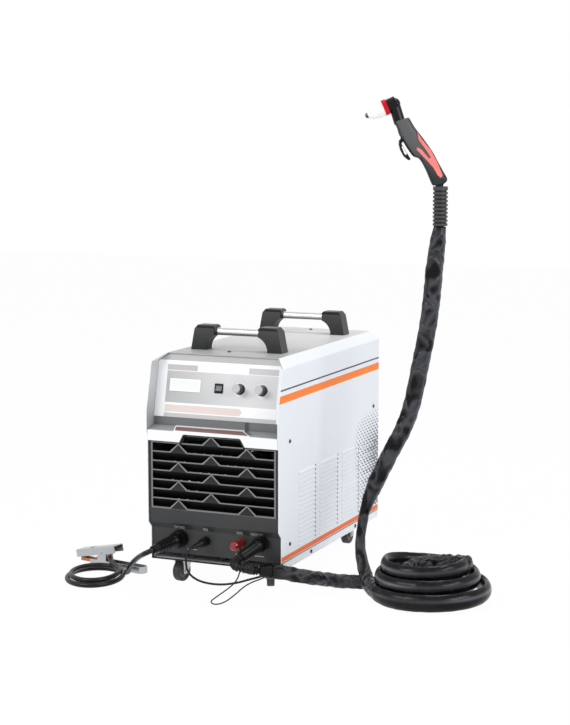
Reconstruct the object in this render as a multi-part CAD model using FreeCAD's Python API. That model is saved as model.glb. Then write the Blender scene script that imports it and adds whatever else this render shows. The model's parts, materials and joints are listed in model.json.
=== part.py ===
import FreeCAD, Part
import math
import os
from FreeCAD import Vector, Rotation, Placement

# Plasma cutting unit on casters, with its torch, torch lead, work lead and clamp.
# Millimetres. +Z is up, the front faces -Y, the right side is +X.
# The origin lies on the floor under the middle of the casing.

os.makedirs("parts", exist_ok=True)

# Casing
half_width = 165.0
sheet = 1.5
casing_front = -306.0
casing_rear = 319.0
casing_top = 540.0
chamfer_side = 26.0
chamfer_drop = 19.0
top_front = -261.0
corner_front = -298.0
cover_bottom = 77.5
brow_front = -326.0
grille_front = -321.0
fit_gap = 0.1
running_fit = 0.05
face_setback = 3.0
tray_margin = 2.0
skirt_gap = 1.0
hood_depth = 2.2

# Base tray
tray_floor_low = 60.0
tray_floor_high = 62.0
tray_skirt_top = cover_bottom - skirt_gap
tray_upstand_top = 95.0

# Control panel, leaning back
panel_foot_y = -291.1
panel_foot_z = 394.4
panel_lean = 12.83
panel_side_gap = 0.6
panel_corner_gap = 1.6
roof_gap = 1.16
panel_half_width = half_width - sheet - panel_side_gap
panel_top_half = half_width - chamfer_side - panel_corner_gap
panel_top_z = casing_top - sheet - roof_gap
panel_height = (panel_top_z - panel_foot_z) / math.cos(math.radians(panel_lean))
panel_top_y = panel_foot_y + panel_height * math.sin(math.radians(panel_lean))
meter_left, meter_right, meter_low, meter_high = -127.7, -50.4, 60.0, 89.0
rocker_x, rocker_up = -3.5, 72.0
rocker_rest = -8.0
knob_positions = (49.5, 105.0)
knob_up = 73.0
spindle_radius = 3.0

# Louvres in the cover sides
louvre_rows = 17
louvre_low = 100.0
louvre_pitch = 10.56
louvre_height = 3.0
louvre_groups = ((-205.0, -101.0), (-78.0, 40.0), (64.0, 182.0), (206.0, 296.0))

# Grille
blade_low = 186.6
blade_pitch = 21.8
peak_half = 20.5
peak_height = 19.8
side_peak_x = 86.0

# Handles
handle_rows = (-172.0, 218.0)
handle_depth = 36.0
bar_radius = 8.75
bar_rise = 43.0
bar_height = casing_top + bar_rise
bar_half_length = 74.0

# Sockets in the connection face
face_y = casing_front + face_setback
work_socket_at = (-91.0, 113.5)
control_socket_at = (-25.0, 113.0)
terminal_at = (66.0, 119.5)
torch_socket_at = (116.0, 122.0)

# Casters
wheel_radius = 25.0
wheel_half_width = 9.0
axle_radius = 4.0
trail = 20.0
front_swivel = (half_width - 57.0, -237.0)
rear_caster = (half_width - 55.0, 245.0)
kingpin_radius = 5.0
front_left_heading = 190.0
front_right_heading = 23.3

# Leads
sleeve_radius = 16.0
work_lead_radius = 6.0
switch_cable_radius = 2.5
pilot_wire_radius = 1.5
conduit_radius = 10.0

# The torch stands in a plane that is turned about the vertical
view_turn = 23.28
torch_base = Vector(312.0, -128.0, 0.0)


def box(x0, x1, y0, y1, z0, z1):
    """Box between two corners."""
    return Part.makeBox(x1 - x0, y1 - y0, z1 - z0, Vector(x0, y0, z0))


def rod(radius, start, end):
    """Round bar between two points."""
    start = Vector(*start)
    end = Vector(*end)
    return Part.makeCylinder(radius, (end - start).Length, start, end - start)


def ring(outer, inner, start, end):
    """Round tube between two points."""
    return rod(outer, start, end).cut(rod(inner, start, end))


def taper(radius_a, radius_b, start, end):
    """Cone frustum between two points."""
    start = Vector(*start)
    end = Vector(*end)
    return Part.makeCone(radius_a, radius_b, (end - start).Length, start, end - start)


def prism(points, axis, low, high):
    """Polygon in the plane across an axis, extruded from low to high along it."""
    if axis == "x":
        corners = [Vector(low, a, b) for a, b in points]
        step = Vector(high - low, 0, 0)
    elif axis == "y":
        corners = [Vector(a, low, b) for a, b in points]
        step = Vector(0, high - low, 0)
    else:
        corners = [Vector(a, b, low) for a, b in points]
        step = Vector(0, 0, high - low)
    wire = Part.makePolygon(corners + corners[:1])
    return Part.Face(wire).extrude(step)


def offset_chain(points, distance):
    """Open chain of points moved sideways to its right by a distance."""
    moved = []
    for i, point in enumerate(points):
        before = points[max(i - 1, 0)]
        after = points[min(i + 1, len(points) - 1)]
        sides = []
        for a, b in ((before, point), (point, after)):
            length = math.hypot(b[0] - a[0], b[1] - a[1])
            if length > 0:
                sides.append(((b[1] - a[1]) / length, (a[0] - b[0]) / length))
        mean = (sides[0][0] + sides[-1][0], sides[0][1] + sides[-1][1])
        scale = 2.0 * distance / (mean[0] ** 2 + mean[1] ** 2)
        moved.append((point[0] + mean[0] * scale, point[1] + mean[1] * scale))
    return moved


def ribbon(points, thickness):
    """Closed outline of a folded sheet that follows a chain of points."""
    return points + offset_chain(points, thickness)[::-1]


def inset(points, distance):
    """Closed outline moved inwards by a distance, for an outline drawn clockwise."""
    count = len(points)
    moved = []
    for i in range(count):
        three = [points[i - 1], points[i], points[(i + 1) % count]]
        moved.append(offset_chain(three, distance)[1])
    return moved


def lean(shape):
    """Place a shape drawn on an upright control panel onto the leaning one."""
    turn = Rotation(Vector(1, 0, 0), -panel_lean)
    foot = Vector(0, panel_foot_y, panel_foot_z)
    return place(shape, foot, turn)


def place(shape, shift, turn):
    """Turn a copy of a shape about the origin, then shift it."""
    moved = shape.copy()
    moved.Placement = Placement(shift, turn).multiply(moved.Placement)
    return moved


def mirror(shape):
    """The same piece on the other side of the middle plane."""
    return shape.mirror(Vector(0, 0, 0), Vector(1, 0, 0))


def torch_place(shape):
    """Stand a shape drawn in the torch plane in its place."""
    return place(shape, torch_base, Rotation(Vector(0, 0, 1), view_turn))


def torch_point(along, depth, height):
    """Point of the torch plane in the part's frame."""
    turn = Rotation(Vector(0, 0, 1), view_turn)
    return torch_base + turn.multVec(Vector(along, depth, height))


def write(name, shape):
    """Save one node, as a single solid or a group of separate solids."""
    solids = shape.Solids
    if len(solids) == 1:
        shape = solids[0]
    else:
        shape = Part.makeCompound(solids)
    if not shape.isValid():
        raise ValueError("invalid shape: " + name)
    volumes = [round(solid.Volume) for solid in solids]
    print(name, len(solids), "solid(s), volume", volumes[:6])
    shape.exportStep("parts/" + name + ".step")


def fuse_all(shapes):
    """One solid from several that overlap."""
    return shapes[0].fuse(shapes[1:]).removeSplitter()


# Leads: straight runs joined by tangent arcs, and coils wound by a formula


def rounded_route(points):
    """Edges of a route: straight runs joined by tangent arcs at each corner."""
    points = [Vector(*point) for point in points]
    edges = []
    last = points[0]
    for i in range(1, len(points) - 1):
        back = points[i - 1] - points[i]
        ahead = points[i + 1] - points[i]
        turn = math.pi - back.getAngle(ahead)
        reach = 0.45 * min(back.Length, ahead.Length)
        arc_start = points[i] + back.normalize() * reach
        arc_end = points[i] + ahead.normalize() * reach
        middle = (arc_start + arc_end) * 0.5
        weight = math.cos(turn / 2.0)
        top = (middle + points[i] * weight) * (1.0 / (1.0 + weight))
        edges.append(Part.LineSegment(last, arc_start).toShape())
        edges.append(Part.Arc(arc_start, top, arc_end).toShape())
        last = arc_end
    edges.append(Part.LineSegment(last, points[-1]).toShape())
    return edges


def arc_by_tangent(start, corner, end):
    """Arc that touches the lines from start to corner and from corner to end."""
    middle = (start + end) * 0.5
    weight = (middle - start).Length / (corner - start).Length
    top = (middle + corner * weight) * (1.0 / (1.0 + weight))
    return Part.Arc(start, top, end).toShape()


def biarc(p1, t1, p2, t2):
    """Two arcs that join two points with given directions."""
    v = p2 - p1
    t = t1 + t2
    a = 2.0 * (1.0 - t1.dot(t2))
    b = v.dot(t)
    c = v.dot(v)
    reach = (math.sqrt(b * b + a * c) - b) / a
    q1 = p1 + t1 * reach
    q2 = p2 - t2 * reach
    joint = (q1 + q2) * 0.5
    return [arc_by_tangent(p1, q1, joint), arc_by_tangent(joint, q2, p2)]


def coil_point(coil, angle):
    """Point of a wound coil at a winding angle in degrees."""
    turns = (angle - coil["start"]) / 360.0
    a = coil["a"] - coil["shrink_a"] * turns
    b = coil["b"] - coil["shrink_b"] * turns
    u = a * math.cos(math.radians(angle))
    v = b * math.sin(math.radians(angle))
    turn = math.radians(coil["turn"])
    x = coil["x"] - coil["drift"] * turns + u * math.cos(turn) - v * math.sin(turn)
    y = coil["y"] + u * math.sin(turn) + v * math.cos(turn)
    lift = coil["hump"] * max(0.0, -math.cos(math.radians(angle))) ** 4
    return Vector(x, y, coil["z"] + coil["rise"] * turns + lift)


def coil_direction(coil, angle):
    """Direction of travel of a wound coil at a winding angle."""
    step = 0.01
    way = coil_point(coil, angle + step) - coil_point(coil, angle - step)
    return way.normalize()


def coil_edges(coil):
    """Arcs of a wound coil, a pair to each eighth of a turn."""
    edges = []
    count = int(math.ceil((coil["end"] - coil["start"]) / 45.0))
    step = (coil["end"] - coil["start"]) / count
    for i in range(count):
        first = coil["start"] + i * step
        second = first + step
        way_1 = coil_direction(coil, first)
        way_2 = coil_direction(coil, second)
        edges += biarc(coil_point(coil, first), way_1, coil_point(coil, second), way_2)
    return edges


def tube(edges, radius):
    """Solid round cord along a chain of edges."""
    path = Part.Wire(edges)
    first = path.Edges[0]
    start = first.valueAt(first.FirstParameter)
    way = first.tangentAt(first.FirstParameter)
    profile = Part.Wire([Part.Circle(start, way, radius).toShape()])
    return path.makePipeShell([profile], True, False)


def least_self_gap(edges, radius):
    """Least clear distance between stretches of a cord far apart along it."""
    samples = []
    length = 0.0
    for edge in edges:
        count = max(2, int(edge.Length / (radius * 0.5)))
        for point in edge.discretize(Number=count)[:-1]:
            samples.append((length, point))
            length += edge.Length / (count - 1)
    least = 1e9
    for i, (along_1, point_1) in enumerate(samples):
        for along_2, point_2 in samples[i + 1:]:
            if along_2 - along_1 > 4.0 * radius:
                least = min(least, (point_2 - point_1).Length)
    return least - 2.0 * radius


# Casing


def cover_outline():
    """Outer chain of the cover seen from the front, left foot to right foot."""
    shoulder = casing_top - chamfer_drop
    edge = half_width - chamfer_side
    return [(-half_width, cover_bottom), (-half_width, shoulder), (-edge, casing_top),
            (edge, casing_top), (half_width, shoulder), (half_width, cover_bottom)]


def side_profile(clear):
    """Outline of the cover seen from the side."""
    return [(casing_front + clear, cover_bottom), (casing_front + clear, 137.0),
            (grille_front + clear, 152.0), (grille_front + clear, 345.0),
            (brow_front + clear, 366.0), (brow_front + clear, 412.0),
            (corner_front + clear, casing_top - chamfer_drop),
            (top_front + clear, casing_top), (top_front + clear, casing_top + 10),
            (casing_rear, casing_top + 10), (casing_rear, cover_bottom)]


rear_screw_y = casing_rear - 38.0
rear_screw_z = 114.7


def screw_places():
    """Head centres of the cover screws with the way each screw points."""
    places = []
    for side in (-1.0, 1.0):
        for y, z in ((-258.5, 352.0), (-258.5, 114.7), (rear_screw_y, 353.0),
                     (rear_screw_y, rear_screw_z)):
            places.append((Vector(side * half_width, y, z), Vector(-side, 0, 0)))
        for y in (-131.6, 156.0):
            places.append((Vector(side * half_width, y, 69.0), Vector(-side, 0, 0)))
    for y in (-205.3, 288.0):
        places.append((Vector(-10.0, y, casing_top), Vector(0, 0, -1)))
    return places


def screw_holes(radius):
    """Bores for the cover screws."""
    tools = []
    for point, way in screw_places():
        tools.append(Part.makeCylinder(radius, 13.0, point - way, way))
    return Part.makeCompound(tools)


screw_radius = 2.0
holes = screw_holes(screw_radius + 0.1)

outer = prism(cover_outline(), "y", -340.0, casing_rear)
inner_chain = offset_chain(cover_outline(), sheet)
inner_chain[0] = (inner_chain[0][0], cover_bottom - 5)
inner_chain[-1] = (inner_chain[-1][0], cover_bottom - 5)
inner = prism(inner_chain, "y", -345.0, casing_rear + 5)
bends = [edge for edge in outer.Edges if edge.Length > 600 and edge.BoundBox.ZMin > 500]
outer = outer.makeFillet(4.0, bends)
bends = [edge for edge in inner.Edges if edge.Length > 600 and edge.BoundBox.ZMin > 500]
inner = inner.makeFillet(2.6, bends)
cover = outer.cut(inner).common(prism(side_profile(0.0), "x", -200.0, 200.0))
slots = []
hoods = []
for row in range(louvre_rows):
    z = louvre_low + row * louvre_pitch
    inside = half_width - 0.8
    lip = half_width + hood_depth
    slope = [(inside, z + 5.4), (lip, z - 0.7), (lip, z - 1.5), (lip - 0.8, z - 1.5),
             (inside, z + 3.4)]
    end = [(inside, z + 5.4), (lip, z - 0.7), (lip, z - 1.5), (inside, z - 1.9)]
    for y0, y1 in louvre_groups:
        if y1 > rear_screw_y and abs(z - rear_screw_z) < 10.0:
            y1 = rear_screw_y - 9.0
        slot = box(half_width - 5, half_width + 5, y0, y1, z - louvre_height / 2,
                   z + louvre_height / 2)
        hood = [prism(slope, "y", y0, y1 - 7.0), prism(end, "y", y0 - 0.5, y0 + 0.9)]
        slots += [slot, mirror(slot)]
        hoods += hood + [mirror(piece) for piece in hood]
cover = cover.cut(Part.makeCompound(slots)).fuse(hoods).cut(holes)
write("cover", cover)

screws = []
for point, way in screw_places():
    head = Part.makeCylinder(4.5, 1.4, point - way * 1.4, way)
    dome = Part.makeCone(3.2, 4.5, 0.9, point - way * 2.3, way)
    shank = Part.makeCylinder(screw_radius, 9.0, point - way * 0.5, way)
    screws.append(fuse_all([head, dome, shank]))
write("cover_screws", Part.makeCompound(screws))

# Base tray: floor, skirt flush with the cover, and an upstand inside the cover
inner_face = half_width - sheet - fit_gap
tray_front = casing_front + tray_margin
tray_rear = casing_rear - tray_margin
low = tray_floor_low
tray = [box(-half_width, half_width, tray_front, tray_rear, low, tray_floor_high)]
tray.append(box(half_width - sheet, half_width, tray_front, tray_rear, low, tray_skirt_top))
tray.append(box(-half_width, -half_width + sheet, tray_front, tray_rear, low, tray_skirt_top))
tray.append(box(-half_width, half_width, tray_rear - sheet, tray_rear, low, tray_skirt_top))
for side in (-1.0, 1.0):
    low, high = sorted((side * (inner_face - sheet), side * inner_face))
    tray.append(box(low, high, -243, tray_rear - 6, tray_skirt_top - 4.5, tray_upstand_top))
    low, high = sorted((side * (inner_face - sheet), side * half_width))
    tray.append(box(low, high, -243, tray_rear - 6, tray_skirt_top - sheet, tray_skirt_top))
base_pan = fuse_all(tray)
kingpins = []
for side in (-1.0, 1.0):
    x = side * front_swivel[0]
    kingpins.append(rod(kingpin_radius + 1.0, (x, front_swivel[1], 55), (x, front_swivel[1], 65)))
base_pan = base_pan.cut(holes).cut(Part.makeCompound(kingpins))
write("base_pan", base_pan)

# Rear panel with flanges along the cover
rear_y = casing_rear - 4.5
rear_flange = 46.5


def bent(shape, radius):
    """The same prism with its upper bends rounded."""
    bends = [edge for edge in shape.Edges if edge.BoundBox.YLength > 1.4
             and edge.BoundBox.ZLength < 0.01 and edge.BoundBox.XLength < 0.01
             and edge.BoundBox.ZMin > casing_top - 40]
    return shape.makeFillet(radius, bends)


rear_edge = offset_chain(cover_outline(), sheet + fit_gap)
rear_edge[0] = (rear_edge[0][0], cover_bottom)
rear_edge[-1] = (rear_edge[-1][0], cover_bottom)
plate = bent(prism(rear_edge, "y", rear_y - sheet, rear_y), 3.2)
flange = bent(prism(rear_edge, "y", rear_y - rear_flange, rear_y), 3.2)
hollow_edge = offset_chain(cover_outline(), 2 * sheet + fit_gap)
hollow_edge[0] = (hollow_edge[0][0], cover_bottom - 7)
hollow_edge[-1] = (hollow_edge[-1][0], cover_bottom - 7)
hollow = bent(prism(hollow_edge, "y", rear_y - rear_flange - 8, rear_y), 2.0)
notch = box(-half_width - 30, half_width + 30, rear_y - rear_flange - 8, rear_y - sheet,
            cover_bottom - 7, tray_upstand_top + 2)
rear_panel = plate.fuse(flange.cut(hollow).cut(notch)).removeSplitter()
fan_at = (0.0, 250.0)
fan_radius = 66.0
tools = []
for i in range(-6, 7):
    z = fan_at[1] + i * 10.0
    half = math.sqrt(fan_radius ** 2 - (i * 10.0) ** 2)
    tools.append(box(fan_at[0] - half, fan_at[0] - 1.5, 305, 320, z - 3, z + 3))
    tools.append(box(fan_at[0] + 1.5, fan_at[0] + half, 305, 320, z - 3, z + 3))
breaker_at = (-85.0, 430.0)
toggle_rest = -20.0
gland_at = (85.0, 430.0)
air_at = (95.0, 360.0)
tools.append(box(breaker_at[0] - 24.2, breaker_at[0] + 24.2, 305, 320, 390, 470))
tools.append(rod(10.0, (gland_at[0], 305, gland_at[1]), (gland_at[0], 320, gland_at[1])))
tools.append(rod(6.1, (air_at[0], 305, air_at[1]), (air_at[0], 320, air_at[1])))
rear_panel = rear_panel.cut(Part.makeCompound(tools)).cut(holes)
write("rear_panel", rear_panel)

# Front fascia: riser, shelf, brow, grille field and connection face
fascia_half = panel_half_width
fascia_front = grille_front + 2.0
riser_y = panel_foot_y + 0.7
fascia_chain = [(riser_y, 394.0), (riser_y, 375.0), (brow_front + 1.0, 366.5),
                (brow_front + 3.0, 342.0),
                (fascia_front, 341.0), (fascia_front, 182.0), (-316.0, 151.0),
                (face_y, 136.0), (face_y, 78.0)]
fascia_thickness = 2.5
skin = prism(ribbon(fascia_chain, -fascia_thickness), "x", -fascia_half, fascia_half)
flank_points = fascia_chain + [(-246.0, 78.0), (-246.0, 390.0)]
flanks = [prism(flank_points, "x", -fascia_half, -fascia_half + fascia_thickness)]
flanks.append(prism(flank_points, "x", fascia_half - fascia_thickness, fascia_half))
fascia = fuse_all([skin] + flanks)
grille_border = 5.9
grille_half = fascia_half - grille_border
grille_low, grille_high = 184.0, 340.0
trapezoid = [(-82.0, 338.0), (-69.0, 361.5), (69.0, 361.5), (82.0, 338.0)]
openings = [box(-grille_half, grille_half, -330, -300, grille_low, grille_high)]
openings.append(prism(trapezoid, "y", -330.0, -308.0))
for (x, z), radius in ((work_socket_at, 17.0), (control_socket_at, 8.1),
                       (torch_socket_at, 12.1), (terminal_at, 4.1)):
    openings.append(rod(radius, (x, -310, z), (x, -295, z)))
fascia = fascia.cut(Part.makeCompound(openings)).cut(holes)
write("front_fascia", fascia)

# Grille insert: frame, sloping blades, triangular peaks and a top field
lip_front = fascia_front + 0.1
frame_half = grille_half - 0.2
frame_low, frame_high = grille_low + 0.2, grille_high - 0.2
blade_depth = 17.0
blade_drop = 21.8
frame_outer = box(-frame_half, frame_half, lip_front + 0.1, -300, frame_low, frame_high)
frame_inner = box(4.0 - frame_half, frame_half - 4.0, -330, -290, frame_low + 3.8,
                  frame_high - 2.3)
frame = frame_outer.cut(frame_inner)
field = prism(inset(trapezoid, 0.2), "y", -321.5, -308.2)
field_hole = prism([(-82.4, 330.0), (-67.0, 358.7), (67.0, 358.7), (82.4, 330.0)], "y", -330, -300)
field = field.cut(field_hole)
pieces = [frame, field]
above_sill = box(-200, 200, -330, -290, frame_low, 400)
for i in range(9):
    z = blade_low + i * blade_pitch if i < 8 else 358.6
    half = (grille_half - 3.0, 78.0, 67.5)[max(0, i - 6)]
    section = [(lip_front, z - 1.4), (lip_front, z + 1.4),
               (lip_front + blade_depth, z - blade_drop + 1.4),
               (lip_front + blade_depth, z - blade_drop - 1.4)]
    pieces.append(prism(section, "x", -half, half).common(above_sill))
    if i == 8:
        continue
    centres = (-side_peak_x, side_peak_x) if i % 2 == 0 else (-3.0,)
    for centre in centres:
        for side in (-1.0, 1.0):
            foot = centre + side * peak_half
            bar = [(foot, z - 1.3), (centre, z + peak_height - 1.3),
                   (centre, z + peak_height + 1.7), (foot - side * 0.6 + side * 3.0, z + 1.3)]
            pieces.append(prism(bar, "y", lip_front - 1.0, lip_front + 5.9))
        web = [(centre - peak_half, z - 1.5), (centre, z + peak_height), (centre + peak_half, z - 1.5)]
        pieces.append(prism(web, "y", lip_front - 0.4, lip_front + 5.9))
grille = fuse_all(pieces)
write("front_grille", grille)

# Control panel and what sits on it
shoulder = panel_height - chamfer_drop
outline = [(-panel_half_width, 0.0), (-panel_half_width, shoulder), (-panel_top_half, panel_height),
           (panel_top_half, panel_height), (panel_half_width, shoulder), (panel_half_width, 0.0)]
panel = prism(outline, "y", 0.0, sheet)
meter_hole = box(meter_left + 2, meter_right - 2, -5, 5, meter_low + 2, meter_high - 2)
rocker_hole = box(rocker_x - 8.8, rocker_x + 8.8, -5, 5, rocker_up - 9.8, rocker_up + 9.8)
cuts = [meter_hole, rocker_hole]
for x in knob_positions:
    cuts.append(rod(spindle_radius + 0.6, (x, -5, knob_up), (x, 5, knob_up)))
panel = lean(panel.cut(Part.makeCompound(cuts)))
flange_top = casing_top - sheet - 0.4
flange_half = panel_top_half - 1.4
top_flange = box(-flange_half, flange_half, panel_top_y + 0.65, -190, flange_top - sheet, flange_top)
control_panel = panel.fuse(top_flange).removeSplitter().cut(holes)
write("control_panel", control_panel)

bezel = box(meter_left, meter_right, -2.5, 0, meter_low, meter_high)
body = box(meter_left + 2.2, meter_right - 2.2, 0, 26, meter_low + 2.2, meter_high - 2.2)
recess = box(meter_left + 4, meter_right - 4, -3, -1.7, meter_low + 4, meter_high - 4)
write("panel_meter", lean(bezel.fuse(body).removeSplitter().cut(recess)))

housing = box(rocker_x - 10.2, rocker_x + 10.2, -2, 0, rocker_up - 11, rocker_up + 11)
barrel = box(rocker_x - 8.7, rocker_x + 8.7, 0, 16, rocker_up - 9.7, rocker_up + 9.7)
cavity = box(rocker_x - 7.7, rocker_x + 7.7, -3, 12, rocker_up - 9.0, rocker_up + 9.0)
pivot_y = 3.0
pivot_bore = rod(1.5 + running_fit, (rocker_x - 8.3, pivot_y, rocker_up),
                 (rocker_x + 8.3, pivot_y, rocker_up))
housing = housing.fuse(barrel).removeSplitter().cut([cavity, pivot_bore])
write("rocker_housing", lean(housing))

rocker_section = [(-3.4, rocker_up - 7.6), (-1.2, rocker_up), (-3.4, rocker_up + 7.6),
                  (2.0, rocker_up + 7.6), (6.0, rocker_up + 3.0), (6.0, rocker_up - 3.0),
                  (2.0, rocker_up - 7.6)]
button = prism(rocker_section, "x", rocker_x - 7.4, rocker_x + 7.4)
stub = rod(1.5, (rocker_x - 8.2, pivot_y, rocker_up), (rocker_x + 8.2, pivot_y, rocker_up))
button = button.fuse(stub).removeSplitter()
button.rotate(Vector(rocker_x, pivot_y, rocker_up), Vector(1, 0, 0), rocker_rest)
write("rocker_button", lean(button))


def knob(x):
    """Knob with a skirt, a cap recess and its spindle, about an axis across the panel."""
    skirt = rod(12.5, (x, -4.0, knob_up), (x, -1.0, knob_up))
    grip = taper(10.8, 9.8, (x, -4.0, knob_up), (x, -22.5, knob_up))
    cap = rod(8.6, (x, -22.5, knob_up), (x, -23.8, knob_up))
    spindle = rod(spindle_radius, (x, -6.0, knob_up), (x, 10.0, knob_up))
    pointer = box(x - 0.8, x + 0.8, -24.2, -22.5, knob_up + 2.0, knob_up + 8.0)
    return lean(fuse_all([skirt, grip, cap, spindle, pointer]))


write("current_knob", knob(knob_positions[0]))
write("gas_timer_knob", knob(knob_positions[1]))

board = box(16, 135, 14.0, 15.6, 30, 115)
parts_on_board = [board]
for x in knob_positions:
    pot = ring(8.0, spindle_radius + running_fit, (x, 4.0, knob_up), (x, 10.5, knob_up))
    parts_on_board.append(pot)
    parts_on_board.append(rod(8.0, (x, 10.4, knob_up), (x, 14.5, knob_up)))
for x, up in ((24.0, 36.0), (24.0, 109.0), (129.0, 36.0), (129.0, 109.0)):
    parts_on_board.append(rod(3.0, (x, sheet, up), (x, 14.5, up)))
for x in (68.0, 78.0, 88.0):
    parts_on_board.append(rod(3.6, (x, 15.0, 92.0), (x, 26.0, 92.0)))
parts_on_board.append(box(30, 60, 15.0, 20.0, 46, 58))
parts_on_board.append(box(70, 94, 15.0, 19.0, 44, 62))
write("control_board", lean(fuse_all(parts_on_board)))

# Handles: posts with an arched inner edge, and a bar between each pair
post_in = bar_half_length - 19.0
post_foot = bar_half_length + 5.0
post_top = bar_height + 15.0
arch = Part.Arc(Vector(post_in, 0, bar_height - 8), Vector(bar_half_length - 2.5, 0, bar_height - 19.5),
                Vector(post_foot, 0, casing_top))
corner_points = [(post_foot, casing_top), (bar_half_length + 42, casing_top),
                 (bar_half_length + 32.5, bar_height + 7), (bar_half_length + 25, post_top),
                 (post_in + 5, post_top), (post_in, post_top - 4), (post_in, bar_height - 8)]
edges = [arch.toShape()]
for a, b in zip(corner_points[:-1], corner_points[1:]):
    edges.append(Part.LineSegment(Vector(a[0], 0, a[1]), Vector(b[0], 0, b[1])).toShape())
post_face = Part.Face(Part.Wire(Part.sortEdges(edges)[0]))
post = post_face.extrude(Vector(0, handle_depth, 0))
rims = [edge for edge in post.Edges
        if edge.BoundBox.YLength < 0.01 and edge.BoundBox.ZMin > casing_top + 1]
post = post.makeFillet(2.5, rims)
posts = []
bars = []
for y in handle_rows:
    right = place(post, Vector(0, y - handle_depth / 2, 0), Rotation())
    pocket_half = bar_half_length + 1.0
    pocket = rod(bar_radius + fit_gap, (-pocket_half, y, bar_height), (pocket_half, y, bar_height))
    right = right.cut(pocket)
    posts += [right, mirror(right)]
    bars.append(rod(bar_radius, (-bar_half_length, y, bar_height), (bar_half_length, y, bar_height)))
write("handle_posts", Part.makeCompound(posts))
write("handle_bars", Part.makeCompound(bars))

# Connection face sockets
plug_bore = 13.0
x, z = work_socket_at
flange = ring(21.0, plug_bore, (x, face_y - 8, z), (x, face_y, z))
throat = ring(16.8, plug_bore, (x, face_y - 1, z), (x, -276, z))
back = rod(16.8, (x, -276.5, z), (x, -268, z))
stud = rod(5.0, (x, -269, z), (x, -252, z))
write("work_socket", fuse_all([flange, throat, back, stud]))

x, z = control_socket_at
flange = ring(11.0, 5.5, (x, face_y - 5, z), (x, face_y, z))
throat = ring(8.0, 5.5, (x, face_y - 1, z), (x, -288, z))
back = rod(8.0, (x, -288.5, z), (x, -282, z))
write("control_socket", fuse_all([flange, throat, back]))

x, z = torch_socket_at
flange = ring(13.8, 8.0, (x, face_y - 6, z), (x, face_y, z))
throat = ring(12.0, 8.0, (x, face_y - 1, z), (x, -280, z))
back = rod(12.0, (x, -280.5, z), (x, -272, z))
pipe = rod(5.0, (x, -273, z), (x, -250, z))
write("torch_socket", fuse_all([flange, throat, back, pipe]))

x, z = terminal_at
collar = rod(8.5, (x, face_y - 5, z), (x, face_y, z))
stem = rod(4.0, (x, -292, z), (x, -344, z))
nut = rod(7.0, (x, -300.4, z), (x, -294, z))
write("pilot_terminal", fuse_all([collar, stem, nut]))

body = taper(10.5, 11.5, (x, -312.5, z), (x, -346, z))
dome = Part.makeSphere(12.0, Vector(x, -343, z))
dome = dome.common(box(x - 20, x + 20, -353, -345, z - 20, z + 20))
grip_notches = []
for i in range(10):
    a = math.radians(36.0 * i)
    centre = (x + 12.6 * math.cos(a), z + 12.6 * math.sin(a))
    grip_notches.append(rod(1.8, (centre[0], -318, centre[1]), (centre[0], -345, centre[1])))
bore = rod(4.0 + running_fit, (x, -310, z), (x, -344.4, z))
terminal_knob = fuse_all([body, dome]).cut(Part.makeCompound(grip_notches + [bore]))
write("pilot_terminal_knob", terminal_knob)


# Plugs on the leads


def point_on(start, way, distance):
    """Point at a distance along a direction."""
    return start + way * distance


def plug_line(socket, tip):
    """Start of the bent back of a plug, its direction and its length."""
    start = Vector(socket[0], socket[1], socket[2])
    way = Vector(*tip) - start
    length = way.Length
    return start, way.normalize(), length


x, z = work_socket_at
work_tip = Vector(-113.0, -400.0, 105.0)
start, way, length = plug_line((x, -334.0, z), work_tip)
shoulder = rod(19.0, (x, face_y - 8, z), (x, -326, z))
waist = rod(16.2, (x, -325, z), (x, -334, z))
elbow = Part.makeSphere(17.0, start, Vector(0, -1, 0))
boot = taper(16.2, 9.5, start, work_tip)
pin = rod(plug_bore - 1.0, (x, face_y - 9, z), (x, -280, z))
rings = []
for i in range(4):
    middle = point_on(start, way, 22.0 + 9.0 * i)
    radius = 16.2 - 6.7 * (22.0 + 9.0 * i) / length
    rings.append(rod(radius + 1.0, middle - way * 2.0, middle + way * 2.0))
write("work_plug", fuse_all([shoulder, waist, elbow, boot, pin] + rings))

x, z = control_socket_at
control_tip = Vector(-38.0, -350.0, 106.0)
start, way, length = plug_line((x, -325.0, z), control_tip)
shell = rod(10.0, (x, face_y - 5, z), (x, -325, z))
elbow = Part.makeSphere(8.0, start, Vector(0, -1, 0))
tail = taper(8.0, 4.0, start, control_tip)
pin = rod(5.0, (x, face_y - 6, z), (x, -292, z))
write("control_plug", fuse_all([shell, elbow, tail, pin]))

x, z = torch_socket_at
torch_tip = Vector(97.0, -378.0, 103.0)
start, way, length = plug_line((x, -330.0, z), torch_tip)
nut = rod(18.0, (x, face_y - 6, z), (x, -322, z))
neck = rod(14.3, (x, -321, z), (x, -330, z))
elbow = Part.makeSphere(15.0, start, Vector(0, -1, 0))
barrel = taper(14.3, 13.0, start, torch_tip)
pin = rod(7.5, (x, face_y - 7, z), (x, -284, z))
write("torch_connector", fuse_all([nut, neck, elbow, barrel, pin]))

# Corrugated tube from the torch connector down to the sleeve collar
torch_way = way
conduit_route = [torch_tip, (90.0, -395.5, 96.0), (97.0, -412.0, 92.5), (115.0, -414.0, 89.0),
                 (127.0, -394.0, 84.0), (108.1, -360.5, 72.1), (130.5, -347.5, 69.5)]
conduit_edges = rounded_route(conduit_route)
print("corrugated tube radius", conduit_radius)
write("corrugated_tube", tube(conduit_edges, conduit_radius))

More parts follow.
